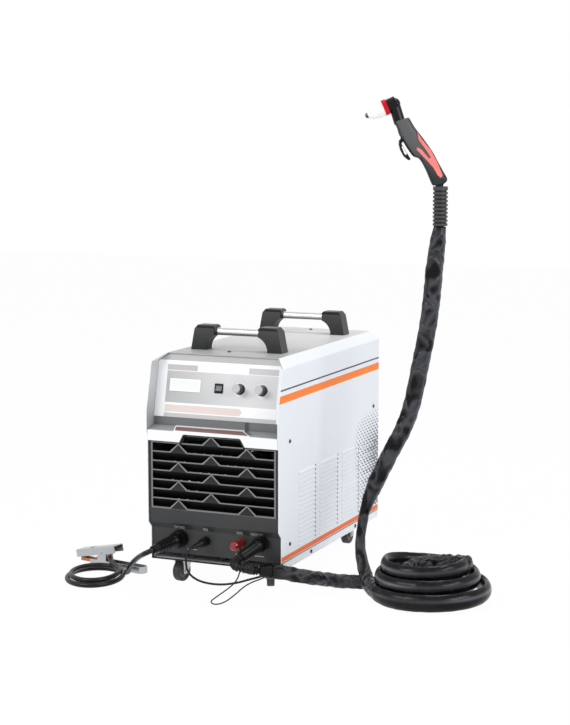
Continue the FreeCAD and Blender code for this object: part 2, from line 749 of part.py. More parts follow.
# Torch sleeve: it runs over the floor and under the coil into its middle, climbs there to
# the top turn, winds outwards and down to the floor, and rises from there to the torch
sleeve_coil = {"x": 481.0, "y": -188.0, "a": 130.0, "b": 126.0, "z": sleeve_radius + 1.0,
               "rise": 27.3, "shrink_a": 22.0, "shrink_b": 18.8, "drift": 3.0, "hump": 10.0,
               "turn": 0.0, "start": 205.0, "end": 1085.0}
collar_start = Vector(*conduit_route[-1])
collar_end = Vector(152.0, -335.0, 67.0)
collar_way = collar_end - collar_start
collar_body = taper(13.0, 17.2, collar_start, collar_end)
write("sleeve_collar", collar_body)

coil_in = coil_point(sleeve_coil, sleeve_coil["start"])
way_in = coil_direction(sleeve_coil, sleeve_coil["start"])
coil_out = coil_point(sleeve_coil, sleeve_coil["end"])
way_out = coil_direction(sleeve_coil, sleeve_coil["end"])
collar_way.normalize()
floor_route = [collar_end, collar_end + collar_way * 24.0, (203.0, -304.0, 56.5),
               (222.0, -262.0, 42.0), (238.0, -215.0, 28.5), (260.0, -178.0, 17.6),
               (300.0, -160.0, 16.3), (420.0, -157.0, 16.3), (465.0, -151.0, 18.0),
               (506.0, -160.0, 26.0), (520.0, -190.0, 37.0), (505.0, -222.0, 48.0),
               (470.0, -235.0, 58.0), (435.0, -222.0, 67.0), (424.0, -190.0, 73.0),
               (432.0, -155.0, 78.0), (460.0, -131.0, 81.0), (500.0, -124.0, 83.0),
               (531.0, -136.0, 84.0), coil_out + way_out * 20.0, coil_out]
rise_points = [(-12.0, -55.0, 40.0), (-21.0, -28.0, 66.0), (-25.0, -8.0, 100.0),
               (-20.0, 0.0, 140.0), (-12.0, 0.0, 190.0), (32.0, 0.0, 290.0), (88.0, 0.0, 395.0),
               (112.0, 0.0, 520.0), (134.0, 0.0, 640.0), (141.0, 0.0, 750.0), (152.5, 0.0, 834.0)]
rise_route = [coil_in, coil_in - way_in * 30.0]
rise_route += [torch_point(*point) for point in rise_points]
floor_edges = rounded_route(floor_route)
coil_arcs = coil_edges(sleeve_coil)
rise_edges = rounded_route(rise_route)
floor_tube = tube(floor_edges, sleeve_radius)
coil_tube = tube(coil_arcs, sleeve_radius)
rise_tube = tube(rise_edges, sleeve_radius)
print("sleeve radius", sleeve_radius)
print("sleeve coil least gap", round(least_self_gap(coil_arcs, sleeve_radius), 2))
sleeve = floor_tube.fuse([coil_tube, rise_tube]).removeSplitter()
write("torch_lead_sleeve", sleeve)

# Work lead: from the plug to the floor, a coil of two turns, and on to the clamp
work_coil = {"x": -295.0, "y": -338.0, "a": 72.0, "b": 94.0, "z": work_lead_radius,
             "rise": 9.5, "shrink_a": 9.0, "shrink_b": 9.0, "drift": 0.0, "hump": 0.0,
             "turn": view_turn,
             "start": 45.0, "end": 765.0}
lug_end = Vector(-322.0, -221.0, 24.0)
work_way = (work_tip - Vector(work_socket_at[0], -334.0, work_socket_at[1])).normalize()
coil_in = coil_point(work_coil, work_coil["start"])
way_in = coil_direction(work_coil, work_coil["start"])
coil_out = coil_point(work_coil, work_coil["end"])
way_out = coil_direction(work_coil, work_coil["end"])
work_route = [work_tip, tuple(work_tip + work_way * 24.0), (-178.0, -352.0, 70.0),
              (-226.0, -300.0, 34.0), tuple(coil_in - way_in * 26.0), tuple(coil_in)]
tail_route = [coil_out, coil_out + way_out * 22.0, lug_end]
work_edges = rounded_route(work_route)
work_arcs = coil_edges(work_coil)
tail_edges = rounded_route(tail_route)
print("work lead radius", work_lead_radius)
print("work coil least gap", round(least_self_gap(work_arcs, work_lead_radius), 2))
work_lead = tube(work_edges, work_lead_radius)
work_lead = work_lead.fuse([tube(work_arcs, work_lead_radius), tube(tail_edges, work_lead_radius)])
write("work_lead", work_lead.removeSplitter())

# Thin leads to the collar
control_way = (control_tip - Vector(control_socket_at[0], -325.0, control_socket_at[1])).normalize()
switch_route = [control_tip, control_tip + control_way * 12.0, (-47.0, -366.0, 80.0),
                (-43.0, -364.0, 52.0), (-22.0, -360.0, 35.0), (8.0, -357.0, 29.0),
                (42.0, -354.0, 29.5), (78.0, -352.0, 37.5), (108.0, -351.0, 48.5),
                (127.0, -350.0, 54.5), (141.0, -345.0, 60.0)]
print("switch cable radius", switch_cable_radius)
write("switch_cable", tube(rounded_route(switch_route), switch_cable_radius))
pilot_route = [(66.0, -310.3, 115.4), (65.0, -311.0, 99.0), (72.0, -326.0, 74.0),
               (78.0, -344.0, 54.0), (73.5, -358.0, 38.0), (56.0, -368.0, 22.0),
               (35.0, -378.0, 6.0), (33.0, -405.0, 1.8), (53.0, -423.0, 1.8),
               (67.0, -402.0, 2.4), (82.7, -378.0, 16.7), (98.5, -365.0, 34.0),
               (117.0, -357.0, 45.0), (134.0, -352.0, 51.5), (146.0, -343.0, 58.0)]
print("pilot wire radius", pilot_wire_radius)
write("pilot_wire", tube(rounded_route(pilot_route), pilot_wire_radius))

# Torch, drawn in its own plane: along, depth, height


def spline(points):
    """Smooth curve through points of the torch plane."""
    curve = Part.BSplineCurve()
    curve.interpolate([Vector(s, 0, height) for s, height in points])
    return curve.toShape()


def lines(points):
    """Straight edges through points of the torch plane."""
    edges = []
    for a, b in zip(points[:-1], points[1:]):
        edges.append(Part.LineSegment(Vector(a[0], 0, a[1]), Vector(b[0], 0, b[1])).toShape())
    return edges


def torch_rod(radius, start, end):
    """Round bar along the middle of the torch plane."""
    return rod(radius, (start[0], 0, start[1]), (end[0], 0, end[1]))


handle_half_depth = 17.0
trigger_pivot = (69.0, 1034.0)
trigger_depth = 9.0
grip_edges = [spline([(133, 925), (129, 937), (117, 964), (104, 984)])]
grip_edges += lines([(104, 984), (88, 990), (66, 1025)])
grip_edges.append(spline([(66, 1025), (57.5, 1040), (53.5, 1053), (43, 1069)]))
grip_edges += lines([(43, 1069), (62, 1076), (64, 1087), (75.6, 1087)])
grip_edges.append(spline([(75.6, 1087), (82.5, 1069), (105, 1040), (128, 1009), (144, 982),
                          (158, 957.5), (169, 937)]))
grip_edges += lines([(169, 937), (160, 927), (133, 925)])
grip_face = Part.Face(Part.Wire(grip_edges))
grip_half = grip_face.extrude(Vector(0, handle_half_depth, 0))
rims = [edge for edge in grip_half.Edges
        if edge.BoundBox.YMin > handle_half_depth - 0.5 and edge.Length > 20]
grip_half = grip_half.makeChamfer(4.5, rims).Solids[0]
cavity = [(140, 935), (122, 966), (104, 995), (82, 1024), (70, 1046), (60, 1064), (70, 1064),
          (95, 1037), (118, 1006), (135, 979), (149, 952), (156, 940)]
cavity = prism(cavity, "y", -12.0, 12.0)
pivot_x, pivot_z = trigger_pivot
slot = rod(12.6, (pivot_x, -trigger_depth - 0.6, pivot_z), (pivot_x, trigger_depth + 0.6, pivot_z))
pin_bore = rod(2.0 + running_fit, (pivot_x, -14.2, pivot_z), (pivot_x, 14.2, pivot_z))
boot_bore = torch_rod(9.1, (150, 915), (150, 950))
neck_start, neck_end = (60.0, 1064.0), (46.5, 1106.0)
neck_bore = torch_rod(13.05, (60.0, 1064.0), (50.36, 1094.0))
for tool in (cavity, slot, pin_bore, boot_bore, neck_bore):
    grip_half = grip_half.cut(tool)
right_half = grip_half.Solids[0]
left_half = right_half.mirror(Vector(0, 0, 0), Vector(0, 1, 0))
write("torch_handle_left", torch_place(left_half))
write("torch_handle_right", torch_place(right_half))

trigger_outline = [(62.0, 1028.0), (58.0, 1026.0), (57.6, 1016.0), (61.0, 1004.0),
                   (69.0, 990.0), (79.0, 981.6), (84.0, 983.0), (83.0, 986.5),
                   (62.5, 1019.5), (64.0, 1026.0)]
trigger = prism(trigger_outline, "y", -trigger_depth, trigger_depth)
ear = prism([(59.0, 1024.0), (65.0, 1039.0), (74.0, 1034.0), (63.0, 1018.0)], "y", -8.9, 8.9)
ear = ear.fuse(rod(5.5, (pivot_x, -8.95, pivot_z), (pivot_x, 8.95, pivot_z)))
stub = rod(2.0, (pivot_x, -14.0, pivot_z), (pivot_x, 14.0, pivot_z))
window = [(63.4, 1012.0), (66.4, 1013.0), (76.6, 996.0), (74.0, 992.6), (69.6, 997.0)]
trigger = trigger.fuse([ear, stub]).removeSplitter()
trigger = trigger.cut(prism(window, "y", -20, 20))
write("trigger", torch_place(trigger))

head_way = Vector(-0.913, 0, -0.408)
head_way.normalize()
head_start = Vector(46.5, 0, 1107.5)


def along_head(distance):
    """Point on the head's axis."""
    return head_start + head_way * distance


neck = torch_rod(13.0, neck_start, neck_end)
joint = Part.makeSphere(13.6, Vector(47.0, 0, 1106.5), Vector(-0.306, 0, 0.952))
barrel = Part.makeCylinder(15.6, 21.0, along_head(-5.0), head_way)
stem = Part.makeCylinder(11.9, 22.0, along_head(10.0), head_way)
seat = Part.makeCylinder(4.0, 14.0, along_head(30.0), head_way)
write("torch_head", torch_place(fuse_all([neck, joint, barrel, stem, seat])))
ring_body = Part.makeCylinder(18.0, 9.8, along_head(16.2), head_way)
ring_body = ring_body.cut(Part.makeCylinder(12.0, 14.0, along_head(13.0), head_way))
write("retaining_ring", torch_place(ring_body))
cup = Part.makeCylinder(17.0, 12.0, along_head(26.0), head_way)
cup = cup.fuse(Part.makeCone(17.0, 13.5, 16.0, along_head(38.0), head_way))
cup = cup.fuse(Part.makeCone(13.5, 8.5, 10.0, along_head(54.0), head_way)).removeSplitter()
cup = cup.cut(Part.makeCylinder(12.0, 12.0, along_head(25.0), head_way))
cup = cup.cut(Part.makeCylinder(7.1, 50.0, along_head(30.0), head_way))
write("shield_cup", torch_place(cup))
nozzle = Part.makeCylinder(7.0, 20.0, along_head(44.2), head_way)
nozzle = nozzle.fuse(Part.makeCone(7.0, 3.6, 6.0, along_head(64.2), head_way)).removeSplitter()
nozzle = nozzle.cut(Part.makeCylinder(0.8, 40.0, along_head(60.0), head_way))
nozzle = nozzle.cut(Part.makeCylinder(4.2, 18.0, along_head(43.0), head_way))
write("nozzle", torch_place(nozzle))

boot = torch_rod(14.2, (152.5, 834.0), (152.5, 923.0))
boot_parts = [boot, torch_rod(9.0, (150, 920.0), (150, 938.0))]
boot_parts.append(torch_rod(16.9, (152.5, 914.5), (152.5, 923.0)))
for i in range(9):
    low = 835.0 + 8.8 * i
    boot_parts.append(torch_rod(16.9, (152.5, low), (152.5, low + 5.0)))
write("torch_boot", torch_place(fuse_all(boot_parts)))

# Work clamp lying on the floor: along from the jaw to the tail, across, up
clamp_origin = Vector(-417.0, -192.0, 0.0)
clamp_turn = -11.3
clamp_tilt = 12.0
clamp_pin = (75.0, 36.0)


def clamp_place(shape):
    """Put a shape drawn in the clamp's frame on the floor."""
    return place(shape, clamp_origin, Rotation(Vector(0, 0, 1), clamp_turn))


def clamp_point(along, across, up):
    """Point of the clamp in the part's frame."""
    turn = Rotation(Vector(0, 0, 1), clamp_turn)
    return clamp_origin + turn.multVec(Vector(along, across, up))


plan = [(38, -14), (38, 14), (192, 14), (200, 7), (200, -7), (192, -14)]
lower = prism(plan, "z", 0.0, 16.0)
lower = lower.cut([prism(inset(plan, 2.0), "z", 2.0, 20.0), box(37, 41, -10.3, 10.3, 6.7, 17)])
ears = [box(62, 88, -14, -12, 1, 43), box(62, 88, 12, 14, 1, 43)]
lower = fuse_all([lower] + ears)
pin_hole = rod(3.0 + running_fit, (clamp_pin[0], -20, clamp_pin[1]), (clamp_pin[0], 20, clamp_pin[1]))
lower = lower.cut(pin_hole)
write("clamp_lower_arm", clamp_place(lower))

upper = box(0, 122, -17, 17, 0, 18).cut(box(3, 124, -15, 15, -1, 16))
upper = upper.cut(box(36, 46, -9, 9, 10, 20))
upper = place(upper, Vector(0, 0, 15.2), Rotation(Vector(0, 1, 0), -clamp_tilt))
upper = upper.cut(pin_hole)
write("clamp_upper_arm", clamp_place(upper))
pin = rod(3.0, (clamp_pin[0], -18.5, clamp_pin[1]), (clamp_pin[0], 18.5, clamp_pin[1]))
write("clamp_pivot", clamp_place(pin))

lug_way = lug_end - tail_route[-2]
lug_way.normalize()
turn_back = Rotation(Vector(0, 0, 1), -clamp_turn)
lug_local = turn_back.multVec(lug_end - clamp_origin)
lug_ahead = turn_back.multVec(lug_way)
barrel = Part.makeCylinder(7.2, 9.0, lug_local, lug_ahead)
jaw_parts = [box(6, 58, -10, 10, 7, 14.8), box(40.3, 58, -11.7, 11.7, 2, 14.8)]
jaw_parts.append(box(50, 98, -6, 6, 2, 5))
low_x = lug_local.x - 8.0
jaw_parts.append(box(low_x, low_x + 6.0, -5, 5, 2, lug_local.z - 1))
jaw_parts.append(barrel)
write("clamp_jaw", clamp_place(fuse_all(jaw_parts)))

helix = Part.makeHelix(3.0, 18.0, 4.35)
section = Part.Wire([Part.Circle(Vector(4.35, 0, 0), Vector(0, 1, 0), 1.2).toShape()])
spring = Part.Wire(helix).makePipeShell([section], True, True)
spring = place(spring, Vector(clamp_pin[0], 9.0, clamp_pin[1]), Rotation(Vector(1, 0, 0), 90))
write("clamp_spring", clamp_place(spring))

# Casters: two that swivel in front, two fixed ones behind
plates = []
for side in (-1.0, 1.0):
    x = side * front_swivel[0]
    y = front_swivel[1]
    plate = box(x - 28, x + 28, y - 24, y + 24, 57.0, tray_floor_low)
    plate = plate.cut(rod(kingpin_radius + running_fit, (x, y, 50), (x, y, 62)))
    plates.append(plate)
write("caster_plates", Part.makeCompound(plates))


def fork(reach, turned):
    """Caster fork with its axle, wheel centre a given reach ahead of the pin."""
    crown = rod(19.0, (0, 0, 51.5), (0, 0, 54.5))
    arm = box(0, reach + 10, -13.2, 13.2, 51.5, 54.5)
    legs = []
    for side in (-1.0, 1.0):
        low, high = sorted((side * 10.6, side * 13.2))
        web = prism([(-6, 54.5), (reach + 10, 54.5), (reach + 8, 19), (reach - 8, 19)],
                    "y", low, high)
        legs.append(web)
    pin = rod(kingpin_radius, (0, 0, 53), (0, 0, 61.5))
    seat = rod(9.0, (0, 0, 54), (0, 0, 56.9))
    body = fuse_all([crown, arm, pin, seat] + legs)
    axle = rod(axle_radius, (reach, -14.8, wheel_radius), (reach, 14.8, wheel_radius))
    bore = rod(axle_radius, (reach, -20, wheel_radius), (reach, 20, wheel_radius))
    body = body.cut(bore)
    pair = Part.makeCompound([body, axle])
    return place(pair, turned[0], Rotation(Vector(0, 0, 1), turned[1]))


def wheel(reach, turned):
    """Caster wheel with a tyre step and an axle bore."""
    tread = rod(wheel_radius, (reach, -wheel_half_width, wheel_radius),
                (reach, wheel_half_width, wheel_radius))
    rims = [edge for edge in tread.Edges if edge.Closed]
    tread = tread.makeFillet(3.0, rims)
    hub = rod(9.0, (reach, -10.4, wheel_radius), (reach, 10.4, wheel_radius))
    dish = ring(18.0, 9.0, (reach, 6.5, wheel_radius), (reach, 12, wheel_radius))
    dish_2 = ring(18.0, 9.0, (reach, -12, wheel_radius), (reach, -6.5, wheel_radius))
    bore = rod(axle_radius + running_fit, (reach, -20, wheel_radius), (reach, 20, wheel_radius))
    body = fuse_all([tread.cut(dish).cut(dish_2), hub]).cut(bore)
    return place(body, turned[0], Rotation(Vector(0, 0, 1), turned[1]))


left_turn = (Vector(-front_swivel[0], front_swivel[1], 0), 260.0)
right_turn = (Vector(front_swivel[0], front_swivel[1], 0), 90.0 + front_right_heading)
write("front_left_fork", fork(trail, left_turn))
write("front_right_fork", fork(trail, right_turn))
write("front_left_wheel", wheel(trail, left_turn))
write("front_right_wheel", wheel(trail, right_turn))

brackets = []
for side, name in ((-1.0, "rear_left_wheel"), (1.0, "rear_right_wheel")):
    spot = (Vector(side * rear_caster[0], rear_caster[1], 0), 90.0)
    top = box(-28, 28, -24, 24, 57.0, tray_floor_low)
    legs = []
    for low, high in ((-13.2, -10.6), (10.6, 13.2)):
        legs.append(prism([(-16, 58), (16, 58), (8, 19), (-8, 19)], "y", low, high))
    bracket = fuse_all([top] + legs)
    bracket = bracket.cut(rod(axle_radius, (0, -20, wheel_radius), (0, 20, wheel_radius)))
    axle = rod(axle_radius, (0, -14.8, wheel_radius), (0, 14.8, wheel_radius))
    pair = Part.makeCompound([bracket, axle])
    brackets += place(pair, spot[0], Rotation(Vector(0, 0, 1), spot[1])).Solids
    write(name, wheel(0.0, spot))
write("rear_brackets", Part.makeCompound(brackets))

# Fan behind the rear slots
fan_x, fan_z = fan_at
inside_y = rear_y - sheet
frame = box(fan_x - 75, fan_x + 75, inside_y - 38, inside_y, fan_z - 75, fan_z + 75)
frame = frame.cut(rod(70.0, (fan_x, inside_y - 40, fan_z), (fan_x, inside_y + 2, fan_z)))
spokes = [rod(22.0, (fan_x, inside_y - 5, fan_z), (fan_x, inside_y, fan_z))]
spokes.append(box(fan_x - 72, fan_x + 72, inside_y - 4, inside_y, fan_z - 3, fan_z + 3))
spokes.append(box(fan_x - 3, fan_x + 3, inside_y - 4, inside_y, fan_z - 72, fan_z + 72))
spokes.append(rod(4.0, (fan_x, inside_y - 30, fan_z), (fan_x, inside_y - 4, fan_z)))
write("fan_frame", fuse_all([frame] + spokes))
hub = rod(21.0, (fan_x, inside_y - 34, fan_z), (fan_x, inside_y - 7, fan_z))
blades = [hub]
for i in range(7):
    blade = box(18, 66, -1.4, 1.4, -13, 13)
    blade = place(blade, Vector(0, 0, 0), Rotation(Vector(1, 0, 0), 38))
    blade = place(blade, Vector(0, 0, 0), Rotation(Vector(1, 0, 0), 90))
    blade = place(blade, Vector(fan_x, inside_y - 20, fan_z), Rotation(Vector(0, 1, 0), i * 360 / 7))
    blades.append(blade)
rotor = fuse_all(blades)
rotor = rotor.cut(rod(4.0 + running_fit, (fan_x, inside_y - 31, fan_z), (fan_x, inside_y, fan_z)))
write("fan_rotor", rotor)

# Mains breaker with its toggle, gland and air inlet in the rear panel
bx, bz = breaker_at
breaker = box(bx - 24, bx + 24, rear_y - 58, rear_y + 3, bz - 39.8, bz + 39.8)
lip = box(bx - 28, bx + 28, rear_y, rear_y + 2, bz - 44, bz + 44)
breaker = breaker.fuse(lip).removeSplitter()
toggle_y = rear_y - 3.0
pocket = box(bx - 10.2, bx + 10.2, rear_y - 12, rear_y + 6, bz - 12, bz + 12)
stub_bore = rod(2.0 + running_fit, (bx - 13, toggle_y, bz), (bx + 13, toggle_y, bz))
write("breaker_body", breaker.cut(pocket).cut(stub_bore))
barrel = rod(7.0, (bx - 10, toggle_y, bz), (bx + 10, toggle_y, bz))
lever = prism([(toggle_y, bz - 4), (toggle_y, bz + 4), (toggle_y + 21, bz + 3),
               (toggle_y + 21, bz - 3)], "x", bx - 9.5, bx + 9.5)
stub = rod(2.0, (bx - 12.8, toggle_y, bz), (bx + 12.8, toggle_y, bz))
toggle = fuse_all([barrel, lever, stub])
toggle.rotate(Vector(bx, toggle_y, bz), Vector(1, 0, 0), toggle_rest)
write("breaker_toggle", toggle)

gx, gz = gland_at
gland_bore = 7.5
nut = prism([(gx + 15 * math.cos(math.radians(60 * i)), gz + 15 * math.sin(math.radians(60 * i)))
             for i in range(6)], "y", rear_y, rear_y + 7)
dome = taper(13.0, 10.5, (gx, rear_y + 7, gz), (gx, rear_y + 24, gz))
thread = rod(9.9, (gx, rear_y - 10, gz), (gx, rear_y + 1, gz))
lock = ring(13.5, 9.8, (gx, rear_y - sheet - 5, gz), (gx, rear_y - sheet, gz))
gland = fuse_all([nut, dome, thread, lock])
gland = gland.cut(rod(gland_bore, (gx, rear_y - 12, gz), (gx, rear_y + 26, gz)))
write("mains_gland", gland)

ax, az = air_at
tail_radius = 5.0
hexagon = prism([(ax + 10 * math.cos(math.radians(60 * i)), az + 10 * math.sin(math.radians(60 * i)))
                 for i in range(6)], "y", rear_y, rear_y + 8)
inlet_parts = [hexagon, rod(tail_radius, (ax, rear_y + 7, az), (ax, rear_y + 31, az))]
inlet_parts.append(taper(tail_radius, 4.0, (ax, rear_y + 31, az), (ax, rear_y + 33, az)))
inlet_parts.append(rod(6.0, (ax, rear_y - 12, az), (ax, rear_y + 1, az)))
inlet = fuse_all(inlet_parts).cut(rod(2.5, (ax, rear_y - 14, az), (ax, rear_y + 36, az)))
write("air_inlet", inlet)

# What the casing holds
valve_y = rear_y - 44.5
valve = box(ax - 16, ax + 16, valve_y - 20, valve_y + 20, az - 14, az + 14)
valve_parts = [valve, rod(13.0, (ax, valve_y, az + 13), (ax, valve_y, az + 50))]
valve_parts.append(ring(5.9, 2.5, (ax, valve_y + 18, az), (ax, rear_y - 12, az)))
write("solenoid_valve", fuse_all(valve_parts))

core = box(-46, 46, -60, 40, tray_floor_high, tray_floor_high + 20)
core_parts = [core, box(-46, 46, -60, 40, 150, 170)]
core_parts += [box(-46, -26, -60, 40, 80, 152), box(26, 46, -60, 40, 80, 152)]
core_parts.append(box(-14, 14, -60, 40, 80, 152))
winding = box(-25.4, 25.4, -72, 52, 83, 149)
core_parts.append(winding)
write("transformer", fuse_all(core_parts))

sinks = []
for side in (-1.0, 1.0):
    low, high = sorted((side * 56.0, side * 66.0))
    fins = [box(low, high, -150, 220, tray_floor_high, 190)]
    for i in range(11):
        z = 66.0 + i * 12.0
        inner_x, outer_x = sorted((side * 65.0, side * 118.0))
        fins.append(box(inner_x, outer_x, -150, 220, z, z + 2.4))
    sinks.append(fuse_all(fins))
write("heat_sinks", Part.makeCompound(sinks))

board = box(-118, 118, -150, 220, 190, 192)
board_parts = [board]
for i in range(4):
    for j in range(2):
        spot = (-60.0 + 40.0 * i, 120.0 + 40.0 * j)
        board_parts.append(rod(15.0, (spot[0], spot[1], 191), (spot[0], spot[1], 242)))
for side in (-1.0, 1.0):
    for y in (-110.0, -50.0, 10.0):
        board_parts.append(box(side * 80 - 17, side * 80 + 17, y, y + 46, 191, 207))
write("power_board", fuse_all(board_parts))
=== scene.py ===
import json
import math

import bmesh
import bpy
import numpy as np
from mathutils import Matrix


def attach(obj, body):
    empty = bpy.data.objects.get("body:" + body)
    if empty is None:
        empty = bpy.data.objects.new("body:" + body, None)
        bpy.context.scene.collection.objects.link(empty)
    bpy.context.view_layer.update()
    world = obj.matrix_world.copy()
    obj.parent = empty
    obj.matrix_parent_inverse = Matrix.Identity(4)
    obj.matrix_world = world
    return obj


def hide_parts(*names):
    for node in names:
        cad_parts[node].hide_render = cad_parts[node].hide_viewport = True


# Looks of the plasma cutting unit. Metres, +Z up, the front faces -Y.

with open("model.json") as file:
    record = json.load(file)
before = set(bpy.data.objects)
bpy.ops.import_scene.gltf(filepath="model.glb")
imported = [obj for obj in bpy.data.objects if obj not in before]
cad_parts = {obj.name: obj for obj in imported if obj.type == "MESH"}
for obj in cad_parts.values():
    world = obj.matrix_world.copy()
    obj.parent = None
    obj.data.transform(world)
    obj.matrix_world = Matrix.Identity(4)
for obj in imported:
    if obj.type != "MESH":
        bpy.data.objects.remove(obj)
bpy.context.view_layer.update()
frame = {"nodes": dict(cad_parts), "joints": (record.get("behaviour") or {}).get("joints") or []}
nodes = frame["nodes"]


def shade(red, green, blue):
    """Linear colour of a display colour given from 0 to 255."""
    value = np.array([red, green, blue]) / 255.0
    linear = np.where(value <= 0.04045, value / 12.92, ((value + 0.055) / 1.055) ** 2.4)
    return tuple(float(part) for part in linear) + (1.0,)


# Finishes


class Tone:
    """A value that changes over a surface; its operators add Math nodes."""

    def __init__(self, finish, socket):
        self.finish = finish
        self.socket = socket

    def worked(self, operation, *others):
        return self.finish.maths(operation, self, *others)

    def __add__(self, other):
        return self.worked("ADD", other)

    def __radd__(self, other):
        return self.finish.maths("ADD", other, self)

    def __sub__(self, other):
        return self.worked("SUBTRACT", other)

    def __rsub__(self, other):
        return self.finish.maths("SUBTRACT", other, self)

    def __mul__(self, other):
        return self.worked("MULTIPLY", other)

    def __rmul__(self, other):
        return self.finish.maths("MULTIPLY", other, self)

    def __pow__(self, other):
        return self.worked("POWER", other)

    def __abs__(self):
        return self.worked("ABSOLUTE")

    def most(self, other):
        return self.worked("MAXIMUM", other)

    def sine(self):
        return self.worked("SINE")

    def sign(self):
        return self.worked("SIGN")


class Finish:
    """One material: a Principled shader and the nodes that vary it over the surface."""

    def __init__(self, name, colour, roughness=0.5, metallic=0.0, coat=0.0, specular=0.5):
        self.material = bpy.data.materials.new(name)
        self.material.use_nodes = True
        self.tree = self.material.node_tree
        self.shader = self.tree.nodes["Principled BSDF"]
        self.set("Base Color", colour)
        self.set("Roughness", roughness)
        self.set("Metallic", metallic)
        self.set("Coat Weight", coat)
        self.set("Specular IOR Level", specular)
        self.coordinates = None

    def feed(self, socket, value):
        if isinstance(value, Tone):
            value = value.socket
        if isinstance(value, bpy.types.NodeSocket):
            self.tree.links.new(value, socket)
        else:
            socket.default_value = value

    def set(self, name, value):
        self.feed(self.shader.inputs[name], value)

    def node(self, kind, settings=(), inputs=()):
        made = self.tree.nodes.new(kind)
        for key, value in dict(settings).items():
            setattr(made, key, value)
        for key, value in dict(inputs).items():
            self.feed(made.inputs[key], value)
        return made

    def any_of(self, tones):
        """The greatest of several masks."""
        together = tones[0]
        for tone in tones[1:]:
            together = together.most(tone)
        return together

    def maths(self, operation, *values):
        made = self.node("ShaderNodeMath", {"operation": operation}, enumerate(values))
        return Tone(self, made.outputs[0])

    def where(self):
        """Object coordinates as one socket."""
        if self.coordinates is None:
            self.coordinates = self.node("ShaderNodeTexCoord").outputs["Object"]
        return self.coordinates

    def axes(self):
        """The three object coordinates, in metres."""
        split = self.node("ShaderNodeSeparateXYZ", (), {0: self.where()})
        return [Tone(self, split.outputs[i]) for i in range(3)]

    def facing(self):
        """The three parts of the true surface normal."""
        normal = self.node("ShaderNodeNewGeometry").outputs["True Normal"]
        split = self.node("ShaderNodeSeparateXYZ", (), {0: normal})
        return [Tone(self, split.outputs[i]) for i in range(3)]

    def carried(self, name):
        """A number that the mesh carries at each of its points."""
        made = self.node("ShaderNodeAttribute", {"attribute_name": name})
        return Tone(self, made.outputs["Fac"])

    def joined(self, x, y, z):
        return self.node("ShaderNodeCombineXYZ", (), {0: x, 1: y, 2: z}).outputs[0]

    def noise(self, scale, detail=4.0, at=None, rough=0.55, warp=0.0):
        inputs = {"Vector": self.where() if at is None else at, "Scale": scale}
        inputs.update({"Detail": detail, "Roughness": rough, "Distortion": warp})
        return Tone(self, self.node("ShaderNodeTexNoise", (), inputs).outputs["Fac"])

    def rise(self, value, low, high):
        """0 below low, 1 above high, smooth between."""
        inputs = {"Value": value, "From Min": low, "From Max": high}
        made = self.node("ShaderNodeMapRange", {"interpolation_type": "SMOOTHSTEP"}, inputs)
        return Tone(self, made.outputs["Result"])

    def within(self, value, low, high, soft=0.0003):
        """1 where the value lies from low to high."""
        return self.rise(value, low - soft, low + soft) * (
            1 - self.rise(value, high - soft, high + soft))

    def mix(self, factor, first, second):
        made = self.node("ShaderNodeMix", {"data_type": "RGBA"})
        self.feed(made.inputs[0], factor)
        self.feed(made.inputs[6], first)
        self.feed(made.inputs[7], second)
        return made.outputs[2]

    def layers(self, ground, *coats):
        """Colours laid over each other: pairs of a mask and a colour."""
        colour = ground
        for mask, paint in coats:
            colour = self.mix(mask, colour, paint)
        return colour

    def bump(self, height, distance=0.001, strength=1.0):
        made = self.node("ShaderNodeBump", (), {"Height": height, "Distance": distance,
                                                "Strength": strength})
        self.set("Normal", made.outputs[0])
        return self

    def radius_about(self, centre, axis):
        """Distance from a line through centre along axis."""
        away = self.node("ShaderNodeVectorMath", {"operation": "SUBTRACT"},
                         {0: self.where(), 1: centre}).outputs[0]
        cross = self.node("ShaderNodeVectorMath", {"operation": "CROSS_PRODUCT"},
                          {0: away, 1: axis}).outputs[0]
        length = self.node("ShaderNodeVectorMath", {"operation": "LENGTH"}, {0: cross})
        return Tone(self, length.outputs["Value"])


def paint(finish, *names):
    """Give CAD nodes a finish."""
    for name in names:
        for slot in nodes[name].material_slots:
            slot.material = finish.material


# Surfaces


def piece(name, points, faces, finish, slot, smooth=True, carry=None):
    """A mesh object in its place, riding on the casing."""
    mesh = bpy.data.meshes.new(name)
    mesh.from_pydata(points.tolist(), [], faces)
    made = bmesh.new()
    made.from_mesh(mesh)
    bmesh.ops.recalc_face_normals(made, faces=made.faces)
    made.to_mesh(mesh)
    made.free()
    for key, values in (carry or {}).items():
        mesh.attributes.new(key, "FLOAT", "POINT").data.foreach_set("value", values.ravel())
    mesh.materials.append(finish.material)
    if smooth:
        mesh.shade_smooth()
    made = bpy.data.objects.new(name, mesh)
    bpy.context.scene.collection.objects.link(made)
    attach(made, "casing")
    return made


def skin(name, grid, finish, **options):
    """Surface over a grid of points; each row is a closed ring, its ends filled."""
    rows, columns = grid.shape[:2]
    index = np.arange(rows * columns).reshape(rows, columns)
    here, there = index[:-1], index[1:]
    quads = np.stack([here, np.roll(here, -1, 1), np.roll(there, -1, 1), there], -1)
    faces = quads.reshape(-1, 4).tolist() + [index[0][::-1].tolist(), index[-1].tolist()]
    return piece(name, grid.reshape(-1, 3), faces, finish, **options)


def unit(vectors):
    return vectors / np.linalg.norm(vectors, axis=-1, keepdims=True)


